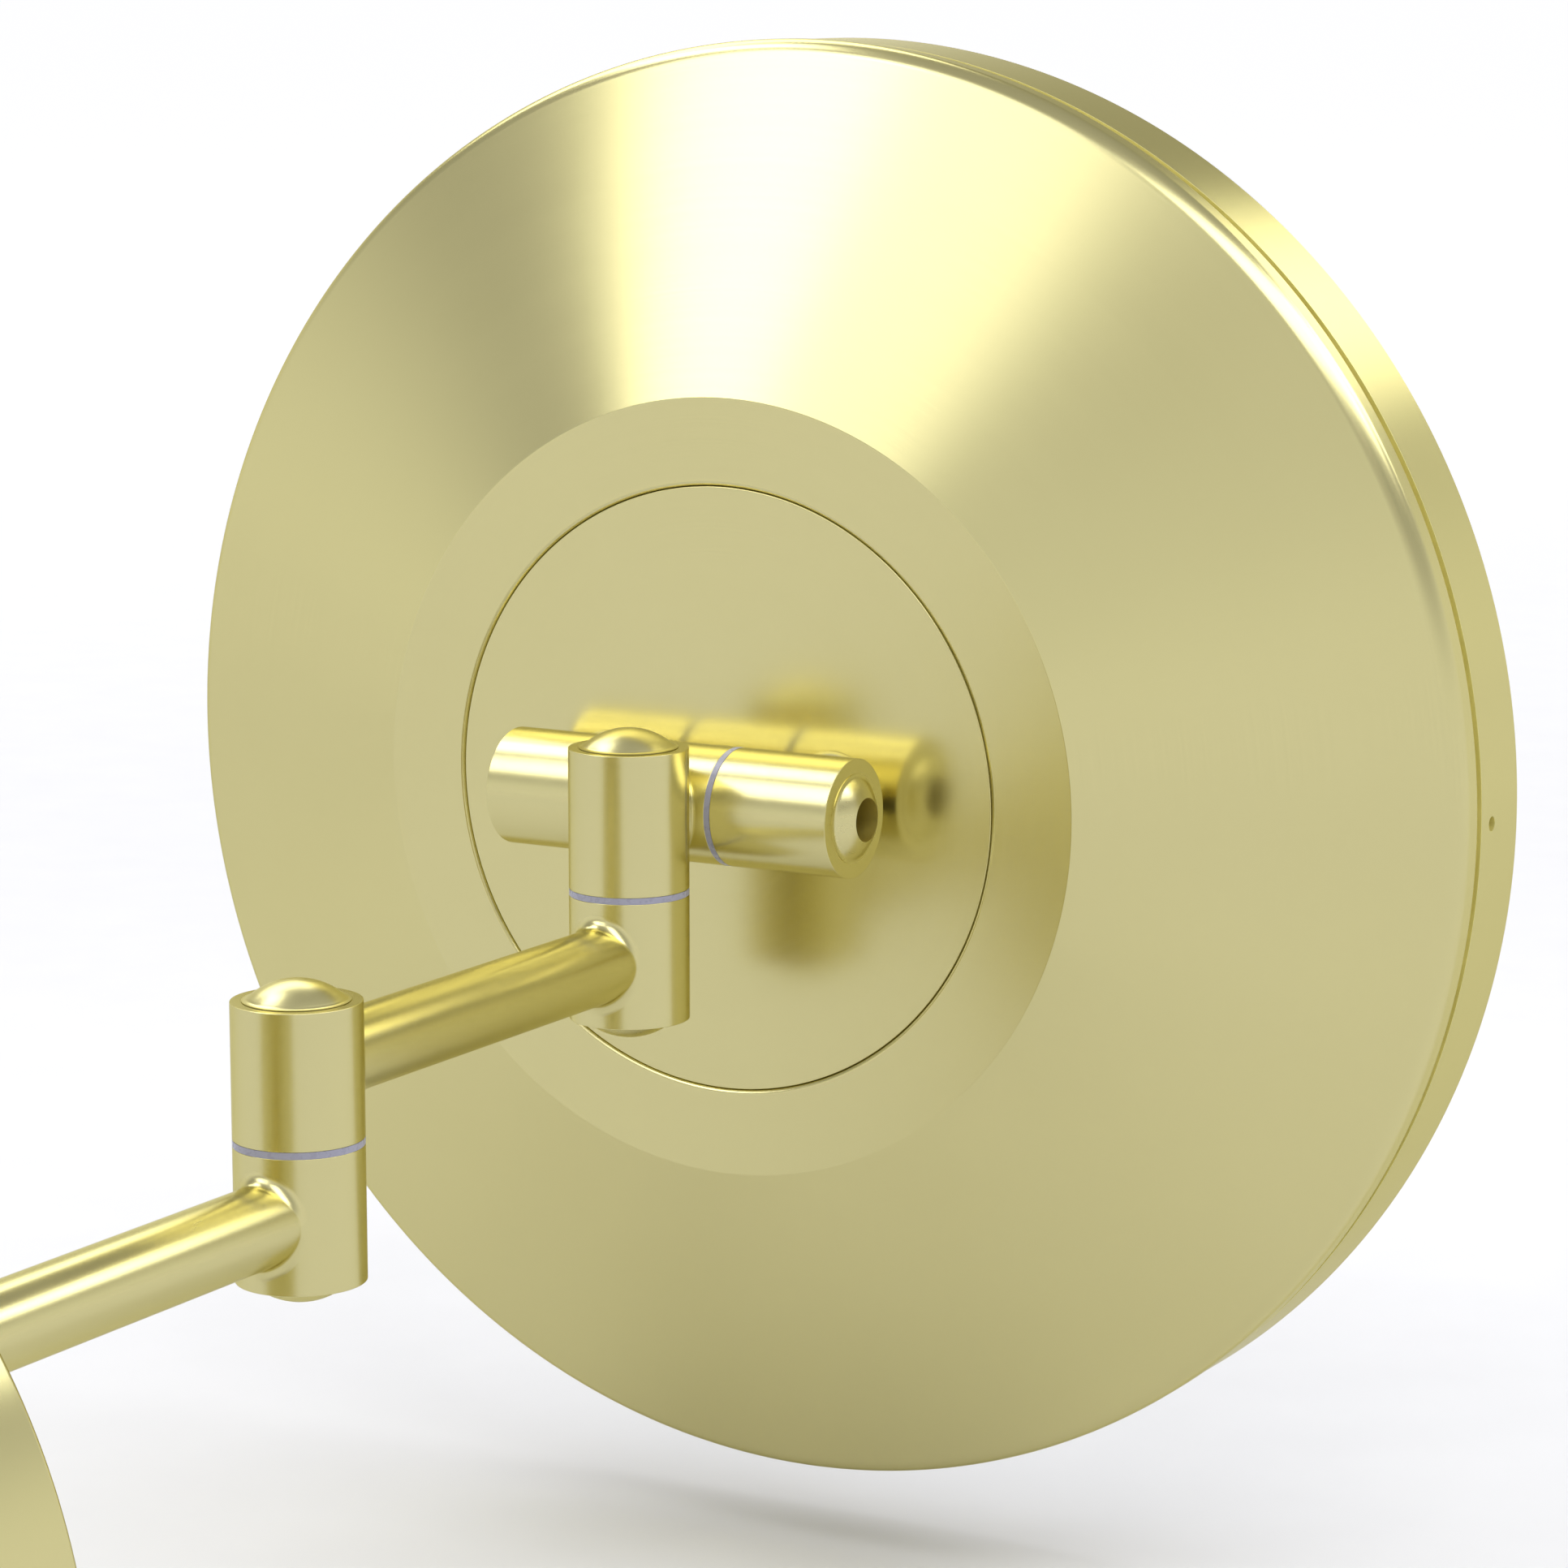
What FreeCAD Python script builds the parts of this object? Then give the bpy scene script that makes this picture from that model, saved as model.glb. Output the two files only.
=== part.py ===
import FreeCAD, Part
import math
import os
import Sketcher
from FreeCAD import Placement, Rotation, Vector

# Lighted magnifying mirror on a double swing arm.
# The wall is the plane Y = 0, the mirror looks towards -Y, +Z is up, and the
# origin is the centre of the wall canopy's open back.
doc = FreeCAD.newDocument("lighted_mirror")

# Driving sizes in millimetres
SIZES = {
    "canopy_diameter": 152.0,
    "canopy_depth": 32.0,
    "canopy_wall": 1.5,
    "canopy_edge": 1.2,
    "canopy_screw_diameter": 4.0,
    "canopy_screw_setback": 10.0,
    "bracket_width": 30.0,
    "bracket_thickness": 2.0,
    "bracket_slot_spacing": 88.9,
    "bracket_slot_length": 14.0,
    "bracket_slot_width": 5.0,
    "bracket_ear_length": 16.0,
    "bracket_play": 0.2,
    "driver_length": 66.0,
    "driver_width": 26.0,
    "driver_depth": 15.0,
    "driver_edge": 2.0,
    "neck_drop": 6.0,
    "wall_reach": 15.0,
    "tail_diameter": 10.0,
    "tail_length": 12.0,
    "tail_bore": 6.0,
    "nut_width": 16.0,
    "nut_thickness": 5.0,
    "inner_arm_length": 130.0,
    "outer_arm_length": 90.0,
    "arm_diameter": 12.0,
    "arm_wall": 1.5,
    "weld_radius": 2.0,
    "knuckle_weld": 1.2,
    "barrel_diameter": 19.05,
    "barrel_length": 20.0,
    "head_barrel_length": 22.4,
    "barrel_edge": 0.15,
    "washer_thickness": 0.95,
    "washer_play": 0.05,
    "spindle_diameter": 8.0,
    "spindle_bore": 5.0,
    "running_play": 0.05,
    "cap_diameter": 15.7,
    "cap_lip": 0.1,
    "cap_dome_diameter": 14.6,
    "cap_height": 3.0,
    "cap_flare": 1.0,
    "cap_spigot_length": 4.0,
    "cap_spigot_play": 0.03,
    "knuckle_offset": 16.5,
    "tilt_reach": 11.4,
    "tilt_centre_length": 19.0,
    "tilt_outer_length": 20.9,
    "tilt_cap_diameter": 14.2,
    "tilt_cap_hole": 7.0,
    "tilt_spigot_diameter": 11.0,
    "tilt_spigot_length": 3.0,
    "hex_key_width": 5.0,
    "hex_key_depth": 4.0,
    "bolt_setback": 3.0,
    "foot_diameter": 16.4,
    "foot_lip": 0.3,
    "barrel_screw_diameter": 4.0,
    "barrel_screw_reach": 6.0,
    "screw_head_height": 2.5,
    "screw_play": 0.05,
    "cover_diameter": 99.0,
    "cover_thickness": 3.0,
    "cover_gap": 0.4,
    "cover_edge": 0.3,
    "cover_lip": 0.8,
    "cover_ledge": 6.0,
    "cover_screw_diameter": 3.0,
    "cover_screw_bite": 2.0,
    "plateau_diameter": 127.6,
    "cone_depth": 22.4,
    "shell_depth": 27.8,
    "shell_wall": 1.5,
    "shell_edge": 3.6,
    "ring_diameter": 240.0,
    "ring_setback": 0.2,
    "ring_gap": 2.1,
    "ring_width": 15.2,
    "ring_wall": 2.0,
    "ring_lip": 4.0,
    "ring_lip_thickness": 1.7,
    "ring_edge": 0.4,
    "ring_spigot_length": 4.5,
    "ring_spigot_wall": 1.5,
    "ring_spigot_play": 0.1,
    "ring_screw_diameter": 2.4,
    "ring_screw_inset": 4.3,
    "ring_screw_sink": 1.0,
    "tray_wall": 1.5,
    "tray_play": 0.2,
    "tray_wire_hole": 10.0,
    "board_thickness": 1.2,
    "board_width": 15.0,
    "led_length": 3.0,
    "led_width": 1.6,
    "led_height": 0.7,
    "diffuser_thickness": 2.0,
    "light_width": 18.0,
    "mirror_thickness": 3.0,
    "mirror_sag": 5.35,
    "mirror_gap": 0.4,
    "pad_margin": 28.0,
    "pad_glue": 0.1,
}
RING_SCREWS = 3
COVER_SCREWS = 4
LEDS = 36

sheet = doc.addObject("Spreadsheet::Sheet", "Sizes")
for row, (alias, number) in enumerate(SIZES.items(), start=1):
    sheet.set(f"A{row}", alias)
    sheet.set(f"B{row}", str(number))
    sheet.setAlias(f"B{row}", alias)
doc.recompute()


class Size:
    """A length that keeps both its number and the formula that ties it to the sheet."""

    def __init__(self, number, formula):
        self.number = number
        self.formula = formula

    @staticmethod
    def of(thing):
        return thing if isinstance(thing, Size) else Size(float(thing), repr(float(thing)))

    def __add__(self, other):
        other = Size.of(other)
        return Size(self.number + other.number, f"({self.formula} + {other.formula})")

    def __sub__(self, other):
        other = Size.of(other)
        return Size(self.number - other.number, f"({self.formula} - {other.formula})")

    def __mul__(self, other):
        other = Size.of(other)
        return Size(self.number * other.number, f"({self.formula} * {other.formula})")

    def __truediv__(self, other):
        other = Size.of(other)
        return Size(self.number / other.number, f"({self.formula} / {other.formula})")

    def __neg__(self):
        return Size(-self.number, f"(-1 * {self.formula})")

    def root(self):
        return Size(math.sqrt(self.number), f"sqrt({self.formula})")


class SheetSizes:
    """Gives each cell of the sheet by its name."""

    def __getattr__(self, alias):
        return Size(float(sheet.get(alias)), f"Sizes.{alias}")


at = SheetSizes()
ZERO = Size.of(0)
UPRIGHT = Rotation()
UPSIDE_DOWN = Rotation(Vector(1, 0, 0), 180)
TO_FRONT = Rotation(Vector(1, 0, 0), 90)
TO_WALL = Rotation(Vector(1, 0, 0), -90)
TO_RIGHT = Rotation(Vector(0, 1, 0), 90)
TO_LEFT = Rotation(Vector(0, 1, 0), -90)

# Places of the hinge axes and of the head, worked out from the wall
barrel_radius = at.barrel_diameter / 2
barrel_step = at.barrel_length + at.washer_thickness + at.washer_play
canopy_face = -at.canopy_depth
wall_axis = canopy_face - at.wall_reach
elbow_axis = wall_axis - at.inner_arm_length
swivel_axis = elbow_axis - at.outer_arm_length
tilt_axis = swivel_axis - at.knuckle_offset
head_face = tilt_axis - at.tilt_reach
wall_level = -at.neck_drop
inner_level = wall_level + barrel_step
outer_level = inner_level + barrel_step
half_barrels = (at.barrel_length + at.head_barrel_length) / 2
head_level = outer_level + half_barrels + at.washer_thickness + at.washer_play

pieces = {}


def kept(label, piece):
    """Names a finished piece, so that it is checked and written."""
    doc.recompute()
    piece.Label = label
    pieces[label] = piece
    return piece


def placed(piece, where, turn=UPRIGHT):
    """Ties a piece's place to the sheet."""
    piece.Placement = Placement(Vector(0, 0, 0), turn)
    for axis, size in zip("xyz", where):
        piece.setExpression(f"Placement.Base.{axis}", Size.of(size).formula)
    return piece


def rod(name, radius, length, where, turn=UPRIGHT):
    """A plain round solid from its place along its turned Z."""
    piece = doc.addObject("Part::Cylinder", name)
    piece.setExpression("Radius", radius.formula)
    piece.setExpression("Height", length.formula)
    return placed(piece, where, turn)


def block(name, sides, where, turn=UPRIGHT):
    """A plain box from its place along its turned axes."""
    piece = doc.addObject("Part::Box", name)
    for side, size in zip(("Length", "Width", "Height"), sides):
        piece.setExpression(side, size.formula)
    return placed(piece, where, turn)


def hexagon(name, width, length, where, turn=UPRIGHT):
    """A six-sided prism, given across its flats."""
    piece = doc.addObject("Part::Prism", name)
    piece.Polygon = 6
    piece.setExpression("Circumradius", (width / math.sqrt(3)).formula)
    piece.setExpression("Height", length.formula)
    return placed(piece, where, turn)


def fused(name, parts):
    piece = doc.addObject("Part::MultiFuse", name)
    piece.Shapes = parts
    doc.recompute()
    return piece


def grouped(name, parts):
    """Separate solids that share one node."""
    piece = doc.addObject("Part::Compound", name)
    piece.Links = parts
    doc.recompute()
    return piece


def cut(name, base, tools):
    """Takes the tools away from the base."""
    tool = tools[0] if len(tools) == 1 else fused(name + "_tools", tools)
    piece = doc.addObject("Part::Cut", name)
    piece.Base = base
    piece.Tool = tool
    doc.recompute()
    return piece


def rounded(name, base, choices):
    """Rounds edges of the base. Each of choices is a radius and a test that picks its edges."""
    doc.recompute()
    edges = []
    for radius, wanted in choices:
        found = [i for i, edge in enumerate(base.Shape.Edges, 1) if wanted(edge)]
        edges += [(i, radius.number, radius.number) for i in found]
    piece = doc.addObject("Part::Fillet", name)
    piece.Base = base
    piece.Edges = edges
    doc.recompute()
    return piece


def has_radius(edge, radius):
    """True for a circle of this radius."""
    if edge.Degenerated or not isinstance(edge.Curve, Part.Circle):
        return False
    return abs(edge.Curve.Radius - radius.number) < 1e-4


def is_rim(edge):
    """True for the round edge at a barrel's end."""
    return has_radius(edge, barrel_radius)


def is_weld(edge):
    """True for the curve where a tube or a barrel runs into another barrel."""
    return not edge.Degenerated and not isinstance(edge.Curve, (Part.Circle, Part.Line))


def is_circle(edge, radius, height):
    """True for a circle of this radius about Z, at this height."""
    return has_radius(edge, radius) and abs(edge.Curve.Center.z - height.number) < 1e-4


def arc_centre(start, end, radius, turn):
    """Centre of the short arc from start to end that bends to the left (1) or the right (-1)."""
    chord = end - start
    left = Vector(-chord.y, chord.x, 0).normalize()
    rise = math.sqrt(radius * radius - chord.Length ** 2 / 4)
    return (start + end) * 0.5 + left * (rise * turn)


def tie_corner(sketch, edge, end, x, y):
    """Ties one corner of a profile to the sheet."""
    for kind, axis, size in (("DistanceX", -2, x), ("DistanceY", -1, y)):
        if size.number == 0:
            sketch.addConstraint(Sketcher.Constraint("PointOnObject", edge, end, axis))
        else:
            index = sketch.addConstraint(Sketcher.Constraint(kind, -1, 1, edge, end, size.number))
            sketch.setExpression(f"Constraints[{index}]", size.formula)


def profile(body, corners):
    """A closed outline in the body's XZ plane. A corner is (x, z), or (x, z, radius, turn) where an
    arc runs on from it to the next corner."""
    sketch = body.newObject("Sketcher::SketchObject", body.Name + "_profile")
    plane = [item for item in body.Origin.OriginFeatures if item.Role == "XZ_Plane"][0]
    sketch.AttachmentSupport = [(plane, "")]
    sketch.MapMode = "FlatFace"
    points = [Vector(Size.of(c[0]).number, Size.of(c[1]).number, 0) for c in corners]
    ends = []
    for i, corner in enumerate(corners):
        start, end = points[i], points[(i + 1) % len(points)]
        if len(corner) == 2:
            edge = sketch.addGeometry(Part.LineSegment(start, end))
            ends.append((edge, 1, 2))
            continue
        radius, turn = corner[2], corner[3]
        centre = arc_centre(start, end, radius.number, turn)
        first, last = (start, end) if turn > 0 else (end, start)
        angles = [math.atan2(p.y - centre.y, p.x - centre.x) for p in (first, last)]
        circle = Part.Circle(centre, Vector(0, 0, 1), radius.number)
        edge = sketch.addGeometry(Part.ArcOfCircle(circle, *angles))
        ends.append((edge, 1, 2) if turn > 0 else (edge, 2, 1))
    for i, (edge, _, last) in enumerate(ends):
        following, first, _ = ends[(i + 1) % len(ends)]
        sketch.addConstraint(Sketcher.Constraint("Coincident", edge, last, following, first))
    for (edge, first, _), corner in zip(ends, corners):
        tie_corner(sketch, edge, first, Size.of(corner[0]), Size.of(corner[1]))
        if len(corner) == 4:
            index = sketch.addConstraint(Sketcher.Constraint("Radius", edge, corner[2].number))
            sketch.setExpression(f"Constraints[{index}]", corner[2].formula)
    return sketch


def turned(name, corners, edges=()):
    """A body turned about Z from its outline. Each of edges is (radius, circle radius, circle height)."""
    body = doc.addObject("PartDesign::Body", name)
    sketch = profile(body, corners)
    solid = body.newObject("PartDesign::Revolution", name + "_turned")
    solid.Profile = sketch
    solid.ReferenceAxis = (sketch, ["V_Axis"])
    solid.Angle = 360
    doc.recompute()
    for number, (fillet, radius, height) in enumerate(edges):
        base = body.Tip
        names = [f"Edge{i}" for i, edge in enumerate(base.Shape.Edges, 1) if is_circle(edge, radius, height)]
        soft = body.newObject("PartDesign::Fillet", f"{name}_edge_{number}")
        soft.Base = (base, names)
        soft.setExpression("Radius", fillet.formula)
        doc.recompute()
    return body


def spread(count, start):
    """Evenly spaced directions round the head's axis, as an angle and its X and Z."""
    for i in range(count):
        angle = start + 360 * i / count
        yield angle, math.cos(math.radians(angle)), math.sin(math.radians(angle))


# Wall canopy: a drum, open to the wall, with a hole for the neck's tail and two side holes
canopy_radius = at.canopy_diameter / 2
canopy_inside = canopy_radius - at.canopy_wall
tail_hole_radius = at.tail_diameter / 2 + at.running_play
drum = turned("canopy_drum", [
    (canopy_inside, 0),
    (canopy_radius, 0),
    (canopy_radius, at.canopy_depth),
    (0, at.canopy_depth),
    (0, at.canopy_depth - at.canopy_wall),
    (canopy_inside, at.canopy_depth - at.canopy_wall),
], [(at.canopy_edge, canopy_radius, at.canopy_depth)])
placed(drum, (0, 0, 0), TO_FRONT)
screw_line = -at.canopy_screw_setback
canopy_screw_hole = at.canopy_screw_diameter / 2 + at.running_play
side_bore = rod("canopy_side_bore", canopy_screw_hole, at.canopy_diameter,
                (-canopy_radius, screw_line, 0), TO_RIGHT)
tail_bore = rod("canopy_tail_bore", tail_hole_radius, at.canopy_depth, (0, 0, wall_level), TO_FRONT)
kept("wall_canopy", cut("canopy_cut", drum, [side_bore, tail_bore]))

# Mounting bracket: a bar with two slots for the wall box and an ear at each end
bar_half = canopy_inside - at.bracket_play
bar = block("bracket_bar", (bar_half * 2, at.bracket_thickness, at.bracket_width),
            (-bar_half, -at.bracket_thickness, -at.bracket_width / 2))
ears = []
for side in (-1, 1):
    inner_face = bar_half * side if side < 0 else bar_half - at.bracket_thickness
    ears.append(block("bracket_ear", (at.bracket_thickness, at.bracket_ear_length, at.bracket_width),
                      (inner_face, -at.bracket_ear_length, -at.bracket_width / 2)))
slots = []
for side in (-1, 1):
    half_straight = (at.bracket_slot_length - at.bracket_slot_width) / 2
    centre = at.bracket_slot_spacing * (side / 2)
    slots.append(block("slot_middle", (half_straight * 2, at.bracket_thickness, at.bracket_slot_width),
                       (centre - half_straight, -at.bracket_thickness, -at.bracket_slot_width / 2)))
    for end in (-1, 1):
        slots.append(rod("slot_end", at.bracket_slot_width / 2, at.bracket_thickness,
                         (centre + half_straight * end, 0, 0), TO_FRONT))
slot_tools = fused("bracket_slots", slots)
ear_bore = rod("bracket_ear_bore", canopy_screw_hole, at.canopy_diameter,
               (-canopy_radius, screw_line, 0), TO_RIGHT)
# The bar is trimmed round at its ends, to lie inside the drum
inside = rod("bracket_limit", bar_half, at.bracket_ear_length, (0, 0, 0), TO_FRONT)
blank = fused("bracket_blank", [bar] + ears)
trimmed = doc.addObject("Part::Common", "bracket_trimmed")
trimmed.Base = blank
trimmed.Tool = inside
kept("mounting_bracket", cut("bracket_cut", trimmed, [slot_tools, ear_bore]))

# Canopy screws: a headless one through each side of the drum into an ear
screw_length = at.canopy_wall + at.bracket_play + at.bracket_thickness * 2
canopy_screws = []
for side, turn in ((-1, TO_RIGHT), (1, TO_LEFT)):
    canopy_screws.append(rod("canopy_screw", at.canopy_screw_diameter / 2, screw_length,
                             (canopy_radius * side, screw_line, 0), turn))
kept("canopy_screws", grouped("canopy_screw_group", canopy_screws))

# Driver: a potted box on the bracket's bar
driver = block("driver_box", (at.driver_length, at.driver_depth, at.driver_width),
               (-at.driver_length / 2, -at.bracket_thickness - at.driver_depth, -at.driver_width / 2))
driver_case = rounded("driver_case", driver, [(at.driver_edge, lambda edge: abs(edge.tangentAt(0).y) > 0.99)])
kept("led_driver", driver_case)


def foot(name, reach, where, turn):
    """A round neck that flares out to a foot on a flat face."""
    neck_radius = at.arm_diameter / 2
    foot_radius = at.foot_diameter / 2
    flare = foot_radius - neck_radius
    neck = turned(name, [
        (0, 0),
        (foot_radius, 0),
        (foot_radius, at.foot_lip, flare, -1),
        (neck_radius, at.foot_lip + flare),
        (neck_radius, reach),
        (0, reach),
    ])
    return placed(neck, where, turn)


bore_radius = at.spindle_diameter / 2 + at.running_play


def bore(name, length, where, turn=UPRIGHT):
    """The hole of a barrel, for its spindle or bolt."""
    return rod(name, bore_radius, length, where, turn)


# Wall barrel: the fixed half of the wall pivot, on a necked foot with a hollow tail through the canopy
wall_bottom = wall_level - at.barrel_length / 2
post = rod("wall_post", barrel_radius, at.barrel_length, (0, wall_axis, wall_bottom))
neck = foot("wall_neck", at.wall_reach, (0, canopy_face, wall_level), TO_FRONT)
tail = rod("wall_tail", at.tail_diameter / 2, at.tail_length, (0, canopy_face, wall_level), TO_WALL)
wall_blank = fused("wall_blank", [post, neck, tail])
wall_soft = rounded("wall_soft", wall_blank, [(at.weld_radius, is_weld), (at.barrel_edge, is_rim)])
lead_way = rod("wall_lead_way", at.tail_bore / 2, at.wall_reach + at.tail_length,
               (0, wall_axis, wall_level), TO_WALL)
wall_hole = bore("wall_hole", at.barrel_length, (0, wall_axis, wall_bottom))
kept("wall_barrel", cut("wall_barrel_cut", wall_soft, [lead_way, wall_hole]))

# Canopy nut: draws the foot against the canopy's face from inside
nut_seat = (0, canopy_face + at.canopy_wall, wall_level)
nut = hexagon("nut_blank", at.nut_width, at.nut_thickness, nut_seat, TO_WALL)
nut_hole = rod("nut_hole", tail_hole_radius, at.nut_thickness, nut_seat, TO_WALL)
kept("canopy_nut", cut("nut_cut", nut, [nut_hole]))


def arm(label, level, back, length):
    """A tube brazed between two upright barrels, hollow for the leads."""
    bottom = level - at.barrel_length / 2
    barrels = [rod(label + "_barrel", barrel_radius, at.barrel_length, (0, axis, bottom))
               for axis in (back, back - length)]
    tube = rod(label + "_tube", at.arm_diameter / 2, length, (0, back, level), TO_FRONT)
    blank = fused(label + "_blank", barrels + [tube])
    soft = rounded(label + "_soft", blank, [(at.weld_radius, is_weld), (at.barrel_edge, is_rim)])
    holes = [bore(label + "_hole", at.barrel_length, (0, axis, bottom)) for axis in (back, back - length)]
    lead_way = rod(label + "_lead_way", at.arm_diameter / 2 - at.arm_wall, length, (0, back, level), TO_FRONT)
    kept(label, cut(label + "_cut", soft, holes + [lead_way]))


# Arms: the inner one from the wall pivot to the elbow, the outer one from the elbow to the swivel
arm("inner_arm", inner_level, wall_axis, at.inner_arm_length)
arm("outer_arm", outer_level, elbow_axis, at.outer_arm_length)


def cap(name, diameter, spigot_diameter, spigot_length):
    """A domed cap with a spigot under its lip. Its seat is at the height of the spigot."""
    dome_radius = at.cap_dome_diameter * (diameter / at.cap_diameter) / 2
    rise = at.cap_height - at.cap_lip
    dome_curve = (dome_radius * dome_radius + rise * rise) / (rise * 2)
    spigot_radius = spigot_diameter / 2 - at.cap_spigot_play
    lip_top = spigot_length + at.cap_lip
    return turned(name, [
        (0, 0),
        (spigot_radius, 0),
        (spigot_radius, spigot_length),
        (diameter / 2, spigot_length),
        (diameter / 2, lip_top),
        (dome_radius, lip_top, dome_curve, 1),
        (0, spigot_length + at.cap_height),
    ], [(at.cap_flare, dome_radius, lip_top)])


def washer(name):
    """A nylon washer as wide as the barrels."""
    return turned(name, [
        (bore_radius, 0),
        (barrel_radius, 0),
        (barrel_radius, at.washer_thickness),
        (bore_radius, at.washer_thickness),
    ])


# Upright hinges: a washer between two barrels, a hollow spindle through both and a domed cap at each end
gap = at.washer_thickness + at.washer_play
hinges = (
    ("wall", wall_axis, wall_level, at.barrel_length),
    ("elbow", elbow_axis, inner_level, at.barrel_length),
    ("swivel", swivel_axis, outer_level, at.head_barrel_length),
)
for name, axis, level, upper_length in hinges:
    bottom = level - at.barrel_length / 2
    stack = at.barrel_length + gap + upper_length + at.washer_play
    kept(name + "_washer", placed(washer(name + "_ring"), (0, axis, bottom + at.barrel_length)))
    spindle = turned(name + "_tube", [
        (at.spindle_bore / 2, 0),
        (at.spindle_diameter / 2, 0),
        (at.spindle_diameter / 2, stack),
        (at.spindle_bore / 2, stack),
    ])
    kept(name + "_spindle", placed(spindle, (0, axis, bottom)))
    for end, height, turn in (("top", bottom + stack - at.cap_spigot_length, UPRIGHT),
                              ("bottom", bottom + at.cap_spigot_length, UPSIDE_DOWN)):
        dome = cap(f"{name}_{end}_dome", at.cap_diameter, at.spindle_bore, at.cap_spigot_length)
        kept(f"{name}_{end}_cap", placed(dome, (0, axis, height), turn))

# Head knuckle: the swivel's upper barrel and the tilt hinge's centre barrel in one casting
half_centre = at.tilt_centre_length / 2
head_bottom = head_level - at.head_barrel_length / 2
upright = rod("knuckle_upright", barrel_radius, at.head_barrel_length, (0, swivel_axis, head_bottom))
crossing = rod("knuckle_crossing", barrel_radius, at.tilt_centre_length,
               (-half_centre, tilt_axis, head_level), TO_RIGHT)
knuckle_blank = fused("knuckle_blank", [upright, crossing])
knuckle_soft = rounded("knuckle_soft", knuckle_blank, [(at.knuckle_weld, is_weld), (at.barrel_edge, is_rim)])
knuckle_holes = [
    bore("knuckle_upright_hole", at.head_barrel_length, (0, swivel_axis, head_bottom)),
    bore("knuckle_crossing_hole", at.tilt_centre_length, (-half_centre, tilt_axis, head_level), TO_RIGHT),
]
kept("head_knuckle", cut("knuckle_cut", knuckle_soft, knuckle_holes))

# Tilt hinge: on each side a washer and an outer barrel whose foot stands on the cover plate
inner_end = half_centre + gap
outer_end = inner_end + at.tilt_outer_length
foot_offset = inner_end + at.tilt_outer_length / 2
seat_radius = at.tilt_spigot_diameter / 2
barrel_screw_hole = at.barrel_screw_diameter / 2 + at.screw_play
barrel_screws = []
for side_name, side, turn in (("left", -1, TO_LEFT), ("right", 1, TO_RIGHT)):
    ring = washer(side_name + "_tilt_ring")
    kept(side_name + "_tilt_washer", placed(ring, (half_centre * side, tilt_axis, head_level), turn))
    name = side_name + "_tilt"
    outer = rod(name + "_outer", barrel_radius, at.tilt_outer_length,
                (inner_end * side, tilt_axis, head_level), turn)
    stand = foot(name + "_stand", at.tilt_reach, (foot_offset * side, head_face, head_level), TO_WALL)
    blank = fused(name + "_blank", [outer, stand])
    soft = rounded(name + "_soft", blank, [(at.barrel_edge, is_rim)])
    holes = [
        bore(name + "_hole", at.tilt_outer_length, (inner_end * side, tilt_axis, head_level), turn),
        rod(name + "_seat", seat_radius, at.tilt_spigot_length,
            ((outer_end - at.tilt_spigot_length) * side, tilt_axis, head_level), turn),
        rod(name + "_screw_hole", barrel_screw_hole, at.barrel_screw_reach,
            (foot_offset * side, head_face, head_level), TO_WALL),
    ]
    kept(side_name + "_tilt_barrel", cut(name + "_cut", soft, holes))
    dome = cap(name + "_dome", at.tilt_cap_diameter, at.tilt_spigot_diameter, at.tilt_spigot_length)
    placed(dome, ((outer_end - at.tilt_spigot_length) * side, tilt_axis, head_level), turn)
    if side < 0:
        key_way = rod(name + "_key_way", at.tilt_cap_hole / 2, at.tilt_spigot_length + at.cap_height,
                      ((outer_end - at.tilt_spigot_length) * side, tilt_axis, head_level), turn)
        dome = cut(name + "_dome_cut", dome, [key_way])
    kept(side_name + "_tilt_cap", dome)
    shank = rod(name + "_screw", at.barrel_screw_diameter / 2, at.cover_thickness + at.barrel_screw_reach,
                (foot_offset * side, head_face - at.cover_thickness, head_level), TO_WALL)
    head = rod(name + "_screw_head", at.barrel_screw_diameter, at.screw_head_height,
               (foot_offset * side, head_face - at.cover_thickness, head_level), TO_FRONT)
    barrel_screws.append(fused(name + "_screw_whole", [shank, head]))
kept("barrel_screws", grouped("barrel_screw_group", barrel_screws))

# Tilt bolt: holds the three barrels together, with a hex socket behind the holed cap
bolt_end = outer_end - at.tilt_spigot_length - at.bolt_setback
bolt_start = (-bolt_end, tilt_axis, head_level)
bolt = rod("bolt_rod", at.spindle_diameter / 2, bolt_end * 2, bolt_start, TO_RIGHT)
socket = hexagon("bolt_socket", at.hex_key_width, at.hex_key_depth, bolt_start, TO_RIGHT)
kept("tilt_bolt", cut("bolt_cut", bolt, [socket]))


def on_head(piece):
    """Sets a turned piece on the head's axis, with its Z from the back's flat face to the front."""
    return placed(piece, (0, head_face, head_level), TO_FRONT)


def head_rod(name, radius, length, across, up, depth, turn):
    """A round solid beside the head's axis, at a depth in front of the back's flat face."""
    return rod(name, radius, length, (across, head_face - depth, head_level + up), turn)


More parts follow.
